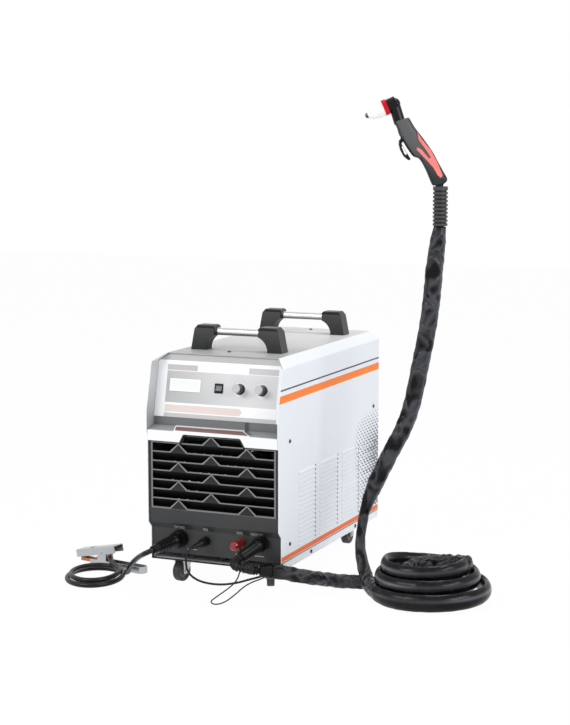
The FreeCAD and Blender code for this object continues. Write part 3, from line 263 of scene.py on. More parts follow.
def smooth_line(points, count):
    """Evenly spaced points on the Catmull-Rom curve through a few points."""
    points = np.array(points, float)
    ends = np.vstack([2 * points[0] - points[1], points, 2 * points[-1] - points[-2]])
    a, b, c, d = ends[:-3], ends[1:-2], ends[2:-1], ends[3:]
    t = np.linspace(0, 1, 40, endpoint=False)[:, None, None]
    fine = 0.5 * (2 * b + (c - a) * t + (2 * a - 5 * b + 4 * c - d) * t ** 2
                  + (3 * b - a - 3 * c + d) * t ** 3)
    fine = np.vstack([fine.transpose(1, 0, 2).reshape(-1, points.shape[1]), points[-1:]])
    return even(fine, count)


def even(line, count):
    """The same line with evenly spaced points."""
    run = np.r_[0, np.cumsum(np.linalg.norm(np.diff(line, axis=0), axis=1))]
    spots = np.linspace(0, run[-1], count)
    return np.stack([np.interp(spots, run, line[:, i]) for i in range(line.shape[1])], 1)


def length_of(line):
    return float(np.linalg.norm(np.diff(line, axis=0), axis=1).sum())


def lead_curve(name, points, radius, finish=None):
    """A lead as a NURBS curve whose control points are its route."""
    data = bpy.data.curves.new(name, "CURVE")
    data.dimensions = "3D"
    line = data.splines.new("NURBS")
    line.points.add(len(points) - 1)
    line.points.foreach_set("co", np.c_[points, np.ones(len(points))].ravel())
    line.order_u = 3
    line.use_endpoint_u = True
    line.resolution_u = 12
    data.bevel_depth = radius
    data.bevel_resolution = 6
    data.use_fill_caps = True
    made = bpy.data.objects.new(name, data)
    bpy.context.scene.collection.objects.link(made)
    if finish:
        data.materials.append(finish.material)
    return made


def lead_line(points):
    """Points read from the route's NURBS spline."""
    made = lead_curve("line_for_reading", points, 0.0)
    bpy.context.view_layer.update()
    mesh = bpy.data.meshes.new_from_object(made)
    line = np.empty(len(mesh.vertices) * 3)
    mesh.vertices.foreach_get("co", line)
    bpy.data.objects.remove(made)
    return line.reshape(-1, 3)


def wound(coil, step):
    """Points of a coil: an ellipse that shrinks and climbs as its angle grows, with a hump
    on its left side that follows the fourth power of the cosine."""
    angles = np.linspace(coil["start"], coil["end"], int((coil["end"] - coil["start"]) / step) + 1)
    turns = (angles - coil["start"]) / 360.0
    u = (coil["a"] - coil["shrink_a"] * turns) * np.cos(np.radians(angles))
    v = (coil["b"] - coil["shrink_b"] * turns) * np.sin(np.radians(angles))
    turn = math.radians(coil["turn"])
    x = coil["x"] - coil["drift"] * turns + u * math.cos(turn) - v * math.sin(turn)
    y = coil["y"] + u * math.sin(turn) + v * math.cos(turn)
    hump = coil["hump"] * np.maximum(0.0, -np.cos(np.radians(angles))) ** 4
    return np.stack([x, y, coil["z"] + coil["rise"] * turns + hump], 1)


torch_turn = 23.28
turn_c, turn_s = math.cos(math.radians(torch_turn)), math.sin(math.radians(torch_turn))
torch_base_x, torch_base_y = 312.0, -128.0


def torch_at(along, depth, height):
    """Points of the torch's upright plane, given in millimetres, in the part's frame."""
    spots = (np.asarray(value, float) for value in (along, depth, height))
    along, depth, height = np.broadcast_arrays(*spots)
    x = torch_base_x + along * turn_c - depth * turn_s
    y = torch_base_y + along * turn_s + depth * turn_c
    return np.stack([x, y, height], -1) / 1000.0


# The leaning control panel's foot and lean
panel_foot_y, panel_foot_z = -0.2911, 0.3944
lean = math.radians(12.83)
lean_c, lean_s = math.cos(lean), math.sin(lean)
knob_places, knob_up = (0.0495, 0.105), 0.073


def panel_axes(finish):
    """Coordinates of the leaning panel: across it, up along it and into it."""
    x, y, z = finish.axes()
    from_foot, above_foot = y - panel_foot_y, z - panel_foot_z
    return (x, from_foot * lean_s + above_foot * lean_c,
            from_foot * lean_c - above_foot * lean_s)


# Finishes of the casing

white_sheet = Finish("white_sheet", shade(236, 238, 242), 0.4, specular=0.25)
x, y, z = white_sheet.axes()
face_x, face_y, face_z = white_sheet.facing()
outward = x.sign() * face_x
side = white_sheet.rise(outward, 0.6, 0.7)
inner_side = white_sheet.rise(-1.0 * outward, 0.75, 0.85)
top = white_sheet.rise(face_z, 0.8, 0.9) * white_sheet.rise(z, 0.5, 0.51)
orange_high = side * white_sheet.within(z, 0.4435, 0.461)
orange_low = side * white_sheet.within(z, 0.081, 0.0925)
thin_line = side * white_sheet.within(z, 0.4712, 0.4748)
speck = white_sheet.noise(900.0, 2.0)
back = white_sheet.rise(y, -0.30, 0.28)
top_grey = white_sheet.mix(back, shade(160, 160, 158), shade(206, 206, 204))
fade = white_sheet.rise(y + (z - 0.20) * 0.15, 0.13, 0.33) * white_sheet.rise(0.36 - z, 0.0, 0.12)

# A fading field of dots over the rear of the sides, and painted shade at the open ends of the
# louvre slots
dots = ((z * 838.0).sine() + (y * 330.0 + z * 419.0).sine()) * 0.5
dot_field = side * white_sheet.rise(dots + fade * 1.05, 0.62, 0.85)
dot_field = dot_field * white_sheet.rise(fade, 0.02, 0.1) * white_sheet.rise(z, 0.0935, 0.0945)
seam = side * white_sheet.rise(0.0797 - z, 0.0, 0.0004)
louvre_pitch, louvre_phase = 0.01056, 0.0989
row_wave = ((z - louvre_phase) * (2 * math.pi / louvre_pitch)).sine()
row_wave = white_sheet.rise(row_wave, 0.1, 0.5)
slot_end_shade = white_sheet.any_of([white_sheet.within(y, end - 0.009, end, 0.001)
                                for end in (-0.101, 0.040, 0.182, 0.296)])
slot_end_shade = slot_end_shade * row_wave * side * white_sheet.within(z, 0.097, 0.2765)
# Painted shade on the inner faces of the cover: grey, darker low down, and near black behind y =
# -0.24
inner_face_shade = white_sheet.mix(white_sheet.rise(z, 0.36, 0.5),
                             shade(150, 151, 153), shade(190, 191, 193))
inner_face_shade = white_sheet.mix(white_sheet.rise(y, -0.25, -0.24), inner_face_shade, shade(22, 22, 23))
white_sheet.set("Base Color", white_sheet.layers(
    white_sheet.mix(speck, shade(226, 229, 234), shade(232, 235, 240)),
    (top, top_grey), (inner_side, inner_face_shade), (orange_high, shade(246, 124, 0)),
    (orange_low, shade(238, 102, 2)), (thin_line, shade(40, 38, 38)), (seam, shade(40, 38, 38)),
    (dot_field * 0.85, shade(44, 44, 48)), (slot_end_shade * 0.85, shade(36, 36, 38))))
white_sheet.bump(speck, 0.00006)
paint(white_sheet, "cover")

plain_white = Finish("plain_white_sheet", shade(234, 236, 240), 0.42, specular=0.2)
x, y, z = plain_white.axes()
# Painted shade along the base pan's front edge, in front of y = -0.2975
plain_white.set("Base Color", plain_white.mix(plain_white.rise(y, -0.2975, -0.2965),
                                              shade(48, 48, 49), shade(234, 236, 240)))
plain_white.bump(plain_white.noise(900.0, 2.0), 0.00006)
paint(plain_white, "base_pan", "rear_panel")

black_metal = Finish("black_screw", shade(34, 34, 36), 0.38, metallic=0.4)
black_metal.bump(black_metal.noise(2200.0, 2.0), 0.00004)
paint(black_metal, "cover_screws")

# The control panel, drawn by its own across and up coordinates
panel = Finish("panel_overlay", shade(240, 240, 240), 0.36, coat=0.2)
x, up = panel_axes(panel)[:2]
grain = panel.noise(700.0, 2.0)
field = panel.within(x, -0.138, 0.142) * panel.within(up, 0.0335, 0.107)
field_light = panel.rise(x * 1.0 + up * 0.4, -0.12, 0.11)
field_grey = panel.mix(field_light, shade(176, 177, 175), shade(214, 213, 213))
pill_left = panel.within(x, -0.138, -0.0615) * panel.within(up, 0.1085, 0.1215)
pill_right = panel.within(x, 0.068, 0.142) * panel.within(up, 0.1085, 0.1225)
strip_end = panel.rise(0.0595 - x - abs(up - 0.020) * 0.9, -0.0003, 0.0003)
strip = panel.rise(x, -0.1373, -0.1367) * strip_end * panel.within(up, 0.012, 0.0285)
lip_low = panel.within(x, -0.138, 0.145) * panel.within(up, -0.01, 0.0095)
lip_high = panel.rise(up, 0.1308, 0.1314)
dial_radius = 0.0172
dials = panel.any_of([
    panel.within(((x - centre) ** 2.0 + (up - knob_up) ** 2.0) ** 0.5, 0.0, dial_radius)
    for centre in knob_places])
panel.set("Base Color", panel.layers(
    shade(244, 244, 244), (field, field_grey), (dials, shade(232, 232, 231)),
    (pill_left, shade(184, 180, 178)), (pill_right, shade(196, 193, 193)),
    (strip, shade(222, 206, 200)), (lip_low, shade(190, 190, 188)),
    (lip_high, shade(178, 178, 178))))
panel.bump(grain, 0.00004)
paint(panel, "control_panel")

meter = Finish("meter_frame", shade(236, 237, 237), 0.3, coat=0.3)
x, up = panel_axes(meter)[:2]
inside = meter.within(x, -0.1225, -0.0560, 0.0006) * meter.within(up, 0.0645, 0.0845, 0.0006)
meter.set("Base Color", meter.mix(inside, shade(243, 244, 244), shade(232, 234, 234)))
meter.bump(meter.noise(1200.0, 1.0), 0.00003)
paint(meter, "panel_meter")

# Black and dark mouldings
moulding = Finish("dark_moulding", shade(84, 85, 86), 0.48)
x, y, z = moulding.axes()
fine = moulding.noise(1500.0, 3.0)
face_y = moulding.facing()[1]
front_face = moulding.rise(-1.0 * y, 0.3195, 0.3203)
brow = front_face * moulding.within(z, 0.3425, 0.3672) * (1 - moulding.rise(
    0.0835 - abs(x) - (z - 0.3405) * 0.55, 0, 0.0005) * moulding.rise(0.3612 - z, 0, 0.0003))
brow_line = front_face * moulding.within(z, 0.3408, 0.3424)
forward = moulding.rise(-1.0 * face_y, 0.6, 0.7)
# Painted shade: near black on the front faces beside the grille, beyond |x| = 0.1505
edge_shade = forward * moulding.rise(abs(x), 0.1505, 0.1510) * moulding.within(z, 0.1845, 0.3408)
# Painted light: the shelf of the ledge and the face above it are lighter grey than the rest of the
# dark moulding
shelf = moulding.within(z, 0.3655, 0.376) * moulding.within(y, -0.3252, -0.2905)
riser = moulding.rise(z, 0.3752, 0.376)
back = moulding.rise(y, -0.3252, -0.2912)
left_edge = -0.098 - back * 0.008
right_edge = 0.095 - back * 0.027
from_left, from_right = x - left_edge, right_edge - x
label = shelf * moulding.rise(from_left, 0.0, 0.0006) * moulding.rise(from_right, 0.0, 0.0006)
line = label * (1 - moulding.rise(from_left, 0.003, 0.0036)
                * moulding.rise(from_right, 0.003, 0.0036)
                * moulding.within(back, 0.12, 0.93, 0.02))
# Painted shade in the recessed corner right of the raised part behind the label
notch_shade = moulding.rise(-1.0 * from_right, -0.0004, 0.0006)
notch_shade = notch_shade * moulding.rise(from_right, -0.016, -0.006)
notch_shade = notch_shade * moulding.rise(back, 0.25, 0.4) * moulding.within(z, 0.366, 0.394)
# Painted shade: the connection face darker towards the bottom
lower_shade = moulding.rise(0.142 - z, 0.0, 0.03)
# Generic pale marks on the connection face: dashes over the sockets, short rules under them
rules = moulding.within(z, 0.0893, 0.0909) * moulding.within(abs(abs(x) - 0.085), 0.012, 0.036)
dots = moulding.within(z, 0.1365, 0.1445) * moulding.rise((x * 1500.0).sine(), -0.3, 0.1)
dots = dots * moulding.any_of([moulding.within(x, low, high) for low, high in (
    (-0.104, -0.078), (-0.031, -0.019), (0.055, 0.069), (0.089, 0.119))])
marks = rules.most(dots) * forward
moulding.set("Base Color", moulding.layers(
    moulding.mix(fine, shade(40, 41, 42), shade(50, 51, 52)),
    (lower_shade * 0.4, shade(34, 35, 36)), (marks * 0.7, shade(206, 206, 204)),
    (shelf, shade(140, 143, 144)), (riser, shade(110, 112, 113)), (notch_shade * 0.75, shade(44, 45, 46)),
    (label, shade(122, 92, 92)), (line, shade(238, 236, 234)), (brow, shade(240, 240, 240)),
    (brow_line, shade(112, 112, 111)), (edge_shade, shade(16, 17, 17))))
moulding.bump(fine, 0.00008)
paint(moulding, "front_fascia")

grille = Finish("black_grille", shade(22, 23, 23), 0.42, specular=0.25)
x, y, z = grille.axes()
fine = grille.noise(1300.0, 3.0)
front = -1.0 * y
# Painted highlights on the front lips and bars of the black blades, with dark grey webs between
# them
lip_highlight = grille.within(front, 0.3187, 0.3191, 0.0001)
web = grille.within(front, 0.3192, 0.3194, 0.0001)
bar_highlight = grille.within(front, 0.3197, 0.3201, 0.0001)
grille.set("Base Color", grille.layers(
    grille.mix(fine, shade(8, 9, 9), shade(16, 17, 17)), (lip_highlight, shade(122, 122, 120)),
    (web, shade(34, 34, 34)), (bar_highlight, shade(134, 134, 132))))
grille.bump(fine, 0.00006)
paint(grille, "front_grille")


def textured(name, dark, light, roughness, scale=1400.0, height=0.00008, metallic=0.0, coat=0.0):
    """Moulded or cast finish: fine speckle in its colour and in its bump."""
    finish = Finish(name, dark, roughness, metallic=metallic, coat=coat)
    speckle = finish.noise(scale, 3.0)
    broad = finish.noise(scale / 40.0, 2.0)
    finish.set("Base Color", finish.mix((speckle + broad) * 0.5, dark, light))
    finish.set("Roughness", roughness - 0.06 + broad * 0.12)
    return finish.bump(speckle, height)


black_plastic = textured("black_plastic", shade(6, 6, 7), shade(16, 16, 17), 0.28)
black_plastic.set("Specular IOR Level", 0.2)

# Torch handle: painted light where it faces sideways, painted shade towards the edges of its
# outline and low down
grey_plastic = textured("grey_plastic", shade(64, 65, 66), shade(84, 85, 86), 0.45)
grey_plastic.set("Specular IOR Level", 0.25)
face_x, face_y, face_z = grey_plastic.facing()
side_lit = grey_plastic.rise(abs(face_y * turn_c - face_x * turn_s), 0.45, 0.97)
upper_lit = grey_plastic.rise(grey_plastic.axes()[2], 0.93, 1.03)
grey_plastic.set("Base Color", grey_plastic.mix(
    side_lit, shade(20, 21, 22), grey_plastic.mix(upper_lit, shade(40, 42, 43), shade(86, 87, 88))))

# Handle posts: painted light and shade, the grey lighter higher up, darker on the outer sides and
# near black on the inner sides of the arch; the caps black
posts = Finish("handle_plastic", shade(84, 85, 84), 0.34, specular=0.3)
x, y, z = posts.axes()
face_x, face_y, face_z = posts.facing()
speckle = posts.noise(1400.0, 3.0)
rising_light = posts.rise(z, 0.54, 0.60)
inner_arch_shade = posts.rise(-1.0 * x.sign() * face_x, 0.2, 0.35)
cap = posts.rise(face_z, 0.35, 0.5).most(posts.rise(z, 0.5905, 0.5915))
outer_side_shade = posts.rise(x.sign() * face_x, 0.5, 0.7)
posts.set("Base Color", posts.layers(
    posts.mix(rising_light, shade(40, 41, 41), shade(64, 65, 64)),
    (outer_side_shade, posts.mix(posts.rise(abs(y), 0.0, 0.3), shade(30, 31, 31), shade(44, 45, 45))),
    (inner_arch_shade, shade(14, 14, 15)), (cap, shade(12, 12, 13))))
posts.set("Roughness", 0.3 + speckle * 0.1)
posts.bump(speckle, 0.00006)
paint(posts, "handle_posts")

knob = Finish("knob", shade(26, 26, 27), 0.3, coat=0.2)
cap = knob.rise(-1.0 * panel_axes(knob)[2], 0.0221, 0.0224)
brushed = knob.noise(1600.0, 2.0)
knob.set("Base Color", knob.mix(cap, shade(26, 26, 27), knob.mix(
    brushed, shade(168, 168, 170), shade(196, 197, 198))))
knob.set("Roughness", 0.28 + brushed * 0.1)
knob.bump(brushed, 0.00003)
paint(knob, "current_knob", "gas_timer_knob")

rocker_grey = Finish("rocker_face", shade(90, 91, 92), 0.3, coat=0.3)
up = panel_axes(rocker_grey)[1]
speckle = rocker_grey.noise(1600.0, 2.0)
rocker_grey.set("Base Color", rocker_grey.mix(rocker_grey.within(up, 0.0665, 0.0775, 0.0012),
                                              shade(34, 34, 35), shade(118, 119, 120)))
rocker_grey.bump(speckle, 0.00003)
paint(rocker_grey, "rocker_button")

bright_bar = textured("bright_bar", shade(206, 207, 206), shade(220, 221, 220), 0.26, 400.0,
                      0.00001, 1.0)
# Painted shade on the bright bars: darker where they face down, and a little darker on faces tilted
# up
face_y, face_z = bright_bar.facing()[1:]
under = bright_bar.rise(-1.0 * face_z, -0.1, 0.75)
brow_shade = bright_bar.within(face_z, 0.62, 0.9, 0.08)
bright_bar.set("Base Color", bright_bar.layers(
    shade(226, 227, 226), (under * 0.85, shade(92, 93, 93)),
    (brow_shade * 0.5, shade(140, 141, 141))))
zinc = textured("zinc_plate", shade(168, 172, 174), shade(196, 200, 202), 0.34, 500.0, 0.00006, 1.0)
copper = textured("copper", shade(176, 98, 62), shade(204, 128, 88), 0.34, 700.0, 0.00005, 1.0)
brass = textured("brass", shade(186, 146, 78), shade(214, 176, 108), 0.3, 700.0, 0.00004, 1.0)
# Dark metal: the transformer's dark varnish, and painted shade on the heat sinks inside the casing
varnish_and_shade_metal = textured("dark_varnish_and_painted_shade", shade(34, 35, 37), shade(50, 51, 53), 0.5, 600.0,
                      0.00004, 0.6)
# The boards' own green, darkened as painted shade for the inside of the casing
board_green = textured("board_green", shade(10, 44, 26), shade(16, 58, 34), 0.5, 300.0, 0.00006)
red_plastic = textured("red_plastic", shade(188, 2, 26), shade(208, 6, 36), 0.3, 900.0, 0.00003)
red_plastic.set("Specular IOR Level", 0.2)
nozzle_metal = textured("nozzle_metal", shade(70, 68, 62), shade(120, 116, 106), 0.3, 700.0,
                        0.00004, 1.0)
dark_red = textured("terminal_red", shade(112, 10, 18), shade(140, 20, 28), 0.2, 900.0, 0.00003,
                    0.0, 0.5)
pink_red = textured("red_inlay", shade(226, 112, 106), shade(238, 134, 126), 0.4, 900.0, 0.00005)
ceramic = textured("ceramic_white", shade(236, 232, 228), shade(246, 243, 240), 0.4, 1200.0,
                   0.00005)
rubber = textured("cable_rubber", shade(10, 10, 11), shade(22, 22, 24), 0.36, 900.0, 0.00006)
rubber.set("Specular IOR Level", 0.25)
paint(bright_bar, "handle_bars")
paint(black_plastic, "rocker_housing", "work_socket", "control_socket", "torch_socket",
      "control_plug", "fan_frame", "fan_rotor", "breaker_body", "breaker_toggle", "mains_gland",
      "torch_head", "trigger", "sleeve_collar", "work_plug", "torch_connector")

# Boot under the torch's handle: painted light on each rib, painted shade in the grooves between
# them
boot = textured("boot_rubber", shade(22, 22, 23), shade(40, 41, 41), 0.4)
boot.set("Specular IOR Level", 0.3)
boot_along, boot_foot = 152.5, 834.0
boot_axis = tuple(float(part) for part in torch_at(boot_along, 0.0, boot_foot))
groove_radius, rib_radius = 0.0150, 0.0160
rib_light = boot.rise(boot.radius_about(boot_axis, (0.0, 0.0, 1.0)), groove_radius, rib_radius)
boot.set("Base Color", boot.mix(rib_light, shade(3, 3, 3), shade(62, 63, 63)))
paint(boot, "torch_boot")
paint(zinc, "clamp_lower_arm", "clamp_upper_arm", "clamp_pivot", "clamp_spring", "caster_plates",
      "rear_brackets", "front_left_fork", "front_right_fork")
paint(copper, "clamp_jaw")
paint(nozzle_metal, "nozzle")
paint(brass, "pilot_terminal", "air_inlet", "solenoid_valve")
paint(varnish_and_shade_metal, "heat_sinks", "transformer")
paint(board_green, "control_board", "power_board")
paint(red_plastic, "retaining_ring")
paint(dark_red, "pilot_terminal_knob")
paint(ceramic, "shield_cup")

# Wheels: a pale hub inside a dark tread, told apart by the distance from the axle
hub_radius, tread_start = 0.0182, 0.0186
for joint in frame["joints"]:
    if not joint["name"].endswith("_roll"):
        continue
    node = joint["child"].removeprefix("wheel_") + "_wheel"
    tyre = Finish("tyre_" + node, shade(44, 44, 46), 0.55)
    out = tyre.radius_about(tuple(joint["pos_m"]), tuple(joint["axis"]))
    tread = tyre.rise(out, hub_radius, tread_start)
    speckle = tyre.noise(900.0, 3.0)
    hub_grey = tyre.mix(speckle, shade(92, 88, 82), shade(112, 108, 100))
    tread_black = tyre.mix(speckle, shade(36, 36, 38), shade(54, 54, 56))
    tyre.set("Base Color", tyre.mix(tread, hub_grey, tread_black))
    tyre.bump(speckle, 0.0001)
    paint(tyre, node)

# Leads: their courses follow the part's own, in millimetres until they are scaled

mm = 0.001
collar_end = np.array([152.0, -335.0, 67.0])
conduit_end = (130.5, -347.5, 69.5)
collar_way = unit(collar_end - np.array(conduit_end))
sleeve_coil = {"x": 484.0, "y": -188.0, "a": 136.0, "b": 126.0, "z": 18.5, "rise": 26.6,
               "shrink_a": 19.0, "shrink_b": 18.8, "drift": 6.0, "hump": 8.0,
               "turn": 0.0, "start": 205.0, "end": 1085.0}
coil_points = wound(sleeve_coil, 20.0)
coil_way_in, coil_way_out = unit(np.diff(coil_points, axis=0)[[0, -1]])
floor_part = [collar_end, collar_end + collar_way * 24.0, (203.0, -304.0, 56.5),
              (222.0, -262.0, 42.0), (238.0, -215.0, 28.5), (260.0, -178.0, 17.6),
              (300.0, -160.0, 16.3), (420.0, -157.0, 16.3), (465.0, -151.0, 18.0),
              (506.0, -160.0, 26.0), (520.0, -190.0, 36.0), (505.0, -222.0, 45.0),
              (470.0, -235.0, 53.0), (435.0, -222.0, 60.0), (424.0, -190.0, 65.0),
              (432.0, -155.0, 68.0), (460.0, -131.0, 70.0), (500.0, -124.0, 73.0),
              (531.0, -136.0, 78.0), coil_points[-1] + coil_way_out * 20.0]
rise_points = [(-12.0, -55.0, 40.0), (-21.0, -28.0, 66.0), (-25.0, -8.0, 100.0),
               (-20.0, 0.0, 140.0), (-12.0, 0.0, 190.0), (32.0, 0.0, 290.0), (88.0, 0.0, 395.0),
               (112.0, 0.0, 520.0), (134.0, 0.0, 640.0), (141.0, 0.0, 750.0),
               (boot_along, 0.0, boot_foot)]
rise_part = [coil_points[0] - coil_way_in * 30.0]
rise_part += [torch_at(*spot) * 1000.0 for spot in rise_points]
sleeve_route = np.vstack([floor_part, coil_points[::-1], rise_part]) * mm
inner_end = length_of(np.array(floor_part)) * mm
riser_length = length_of(np.array(rise_part)) * mm
sleeve_line = lead_line(sleeve_route)
sleeve_length = length_of(sleeve_line)
ring_step = 0.0032
rings = int(sleeve_length / ring_step)
sleeve_path = even(sleeve_line, rings)

leather = Finish("black_leather", shade(14, 14, 15), 0.24, specular=0.16)
along = leather.carried("along")
about = leather.carried("about")
crumple = leather.carried("crumple")
flow = leather.joined(along * 13.0, about * 2.2, 0.0)
crease = leather.noise(1.5, 1.5, flow, 0.45, 0.9)
long_flow = leather.joined(along * 4.0, about * 8.0, 3.0)
streak = leather.noise(1.3, 2.5, long_flow, 0.5, 0.8)
ridge = (1.0 - abs(crease - 0.5) * 7.0).most(0.0)
pores = leather.noise(1500.0, 2.0)
wander = about + (crease - 0.5) * 0.10 + (streak - 0.5) * 0.06
broad = leather.noise(1.0, 1.5, leather.joined(along * 5.0, 1.0, 0.0), 0.5)
# Painted highlights along a fold of the riser and along the walls of the coil
fold_highlight = leather.within(wander, 0.87, 0.93, 0.035) * leather.rise(broad, 0.30, 0.62)
laid_flat = leather.rise(1.0 - crumple, 0.5, 0.9) * (1.0 - leather.carried("riser"))
wall_highlight = leather.within(about + (streak - 0.5) * 0.03, 0.77, 0.82, 0.03)
wall_highlight = wall_highlight * (0.2 + leather.rise(broad, 0.40, 0.62) * 0.8) * laid_flat
# The crease ridges of the crumpled parts get a painted highlight
leather.set("Base Color", leather.layers(
    leather.mix(crease, shade(5, 5, 6), shade(13, 13, 14)),
    (ridge * crumple * 0.5, shade(96, 97, 102)),
    (wall_highlight * 0.85, shade(120, 122, 129)),
    (fold_highlight * leather.carried("riser") * 0.6, shade(104, 105, 109))))
leather.set("Roughness", 0.15 + crease * 0.12 + pores * 0.05)
leather.bump((crease * 0.5 + streak * 0.6 + ridge * 0.3) * crumple + pores * 0.004, 0.006, 1.0)


def signed_power(values, power):
    """Power of the size of the values, with their sign kept."""
    return np.sign(values) * np.abs(values) ** power


def across_ways(line):
    """Directions across a line: one level and one square to it and to the line."""
    ahead = unit(np.gradient(line, axis=0))
    side = unit(np.cross(ahead, [0.0, 0.0, 1.0]))
    return side, np.cross(side, ahead)


def sleeve_skin():
    """Flattened leather sleeve: an ellipse whose wide axis stands upright in the coil and lies
    in the torch plane on the way up, with folds that run across and along as sums of sines."""
    columns = 56
    path = sleeve_path
    run = np.linspace(0, sleeve_length, rings)
    ahead = unit(np.gradient(path, axis=0))
    height = path[:, 2]
    last = sleeve_length - run
    climb = np.clip((riser_length + 0.02 - last) / 0.14, 0, 1)
    climb = climb * climb * (3 - 2 * climb)
    upright = np.tile([0.0, 0.0, 1.0], (rings, 1))
    plane_way = np.array([turn_c, turn_s, 0.0])
    wide = unit(upright * (1 - climb)[:, None] + plane_way * climb[:, None])
    wide = unit(wide - (wide * ahead).sum(1)[:, None] * ahead)
    thin = np.cross(ahead, wide)
    spots = np.interp(height, [0.0, 0.12, 0.18, 0.24, 0.5, 0.74, 0.80, 0.84],
                      [16.0, 11.0, 12.0, 19.0, 20.0, 20.0, 18.0, 13.0]) * mm
    start_half = np.interp(run, [0, 0.02, 0.06], [0.0155, 0.0165, 0.016])
    half_wide = spots * climb + start_half * (1 - climb)
    coiled = np.interp(run, [inner_end - 0.1, inner_end + 0.05, sleeve_length - riser_length - 0.1,
                             sleeve_length - riser_length], [0, 1, 1, 0])
    half_wide = half_wide + 0.0035 * coiled
    half_thin = half_wide * 0.74 * climb + (0.0148 - 0.0042 * coiled) * (1 - climb)

    # Folds, strongest on the run under the coil and gone at both ends
    angle = np.linspace(0, 2 * np.pi, columns, endpoint=False)
    across, around = np.meshgrid(run, angle, indexing="ij")
    folds = (0.40 * np.sin(across * 148 + 2.2 * np.sin(around + across * 9))
             + 0.33 * np.sin(across * 263 + 3.1 * np.cos(around * 2 - across * 15))
             + 0.27 * np.sin(across * 61 + around * 3 + 1.7 * np.sin(across * 27)))
    middle = np.interp(run, [inner_end - 0.34, inner_end - 0.28, inner_end, inner_end + 0.12],
                       [0, 1, 1, 0])
    ends = np.interp(run, [0, 0.04, sleeve_length - 0.03, sleeve_length], [0, 1, 1, 0])
    strength = ends * (0.085 + 0.08 * middle - 0.068 * coiled - 0.04 * climb)
    half_wide = half_wide + 0.002 * middle
    swell = 1 + folds * strength[:, None]

    # Cross-section: powers of the cosine and sine, flatter on the walls of the coil
    sharp = (coiled * (1 - middle))[:, None]
    lift = np.minimum(half_wide, height + 0.004)[:, None]
    offset_wide = lift * swell * signed_power(np.cos(around), 0.86 + 0.1 * sharp)
    offset_thin = half_thin[:, None] * swell * signed_power(np.sin(around), 0.9 + 0.5 * sharp)
    grid = path[:, None] + offset_wide[..., None] * wide[:, None]
    grid = grid + offset_thin[..., None] * thin[:, None]
    floor_clearance = 0.0002
    grid[..., 2] = np.maximum(grid[..., 2], floor_clearance)
    crumpled = np.tile((ends * (1 - 0.92 * coiled))[:, None], (1, columns))
    carry = {"along": across, "about": around / (2 * np.pi), "crumple": crumpled,
             "riser": np.tile(climb[:, None], (1, columns))}
    return skin("leather_sleeve", grid, leather, slot="sleeve_leather", carry=carry)


sleeve = sleeve_skin()
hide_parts("torch_lead_sleeve")

conduit_route = np.array([(97.0, -378.0, 103.0), (90.0, -395.5, 96.0), (97.0, -412.0, 92.5),
                          (115.0, -414.0, 89.0), (127.0, -394.0, 84.0), (108.1, -360.5, 72.1),
                          conduit_end]) * mm


def ribbed_tube():
    """Corrugated tube: a circle whose radius follows a rounded wave along the route."""
    line = lead_line(conduit_route)
    length = length_of(line)
    path = even(line, 420)
    side, other = across_ways(path)
    run = np.linspace(0, length, len(path))
    middle_radius, rib_height, rib_pitch = 0.0088, 0.0017, 0.0072
    wave = np.tanh(2.2 * np.sin(run * 2 * np.pi / rib_pitch))
    radius = middle_radius + rib_height * wave
    angle = np.linspace(0, 2 * np.pi, 40, endpoint=False)[None, :, None]
    ring = np.cos(angle) * side[:, None] + np.sin(angle) * other[:, None]
    made = skin("ribbed_conduit", path[:, None] + radius[:, None, None] * ring, rubber,
                slot="black_plastic")
    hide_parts("corrugated_tube")


ribbed_tube()

work_coil = {"x": -295.0, "y": -338.0, "a": 72.0, "b": 94.0, "z": 6.0, "rise": 9.5,
             "shrink_a": 9.0, "shrink_b": 9.0, "drift": 0.0, "hump": 0.0,
             "turn": torch_turn, "start": 45.0, "end": 765.0}
work_points = wound(work_coil, 24.0)
work_tip = np.array([-113.0, -400.0, 105.0])
work_way = unit(work_tip - np.array([-91.0, -334.0, 113.5]))
work_in = unit(work_points[1] - work_points[0])
work_out = unit(work_points[-1] - work_points[-2])
work_route = np.vstack([[work_tip, work_tip + work_way * 24.0, (-178.0, -352.0, 70.0),
                         (-226.0, -300.0, 34.0), work_points[0] - work_in * 26.0], work_points,
                        [work_points[-1] + work_out * 22.0, (-322.0, -221.0, 24.0)]]) * mm
control_tip = np.array([-38.0, -350.0, 106.0])
control_way = unit(control_tip - np.array([-25.0, -325.0, 113.0]))
switch_route = np.vstack([[control_tip, control_tip + control_way * 12.0], [
    (-47.0, -366.0, 80.0), (-43.0, -364.0, 52.0), (-22.0, -360.0, 35.0), (8.0, -357.0, 29.0),
    (42.0, -354.0, 29.5), (78.0, -352.0, 37.5), (108.0, -351.0, 48.5), (127.0, -350.0, 54.5),
    (141.0, -345.0, 60.0)]]) * mm
pilot_route = np.array([
    (66.0, -310.3, 115.4), (65.0, -311.0, 99.0), (72.0, -326.0, 74.0), (78.0, -344.0, 54.0),
    (73.5, -358.0, 38.0), (56.0, -368.0, 22.0), (35.0, -378.0, 6.0), (33.0, -405.0, 1.8),
    (53.0, -423.0, 1.8), (67.0, -402.0, 2.4), (82.7, -378.0, 16.7), (98.5, -365.0, 34.0),
    (117.0, -357.0, 45.0), (134.0, -352.0, 51.5), (146.0, -343.0, 58.0)]) * mm


def round_lead(name, node, route, radius):
    """Round rubber lead along its route."""
    line = lead_line(route)
    made = lead_curve(name, route, radius, rubber)
    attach(made, "casing")
    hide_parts(node)


round_lead("work_cable", "work_lead", work_route, 0.006)
round_lead("switch_lead", "switch_cable", switch_route, 0.0025)
round_lead("pilot_lead", "pilot_wire", pilot_route, 0.0015)

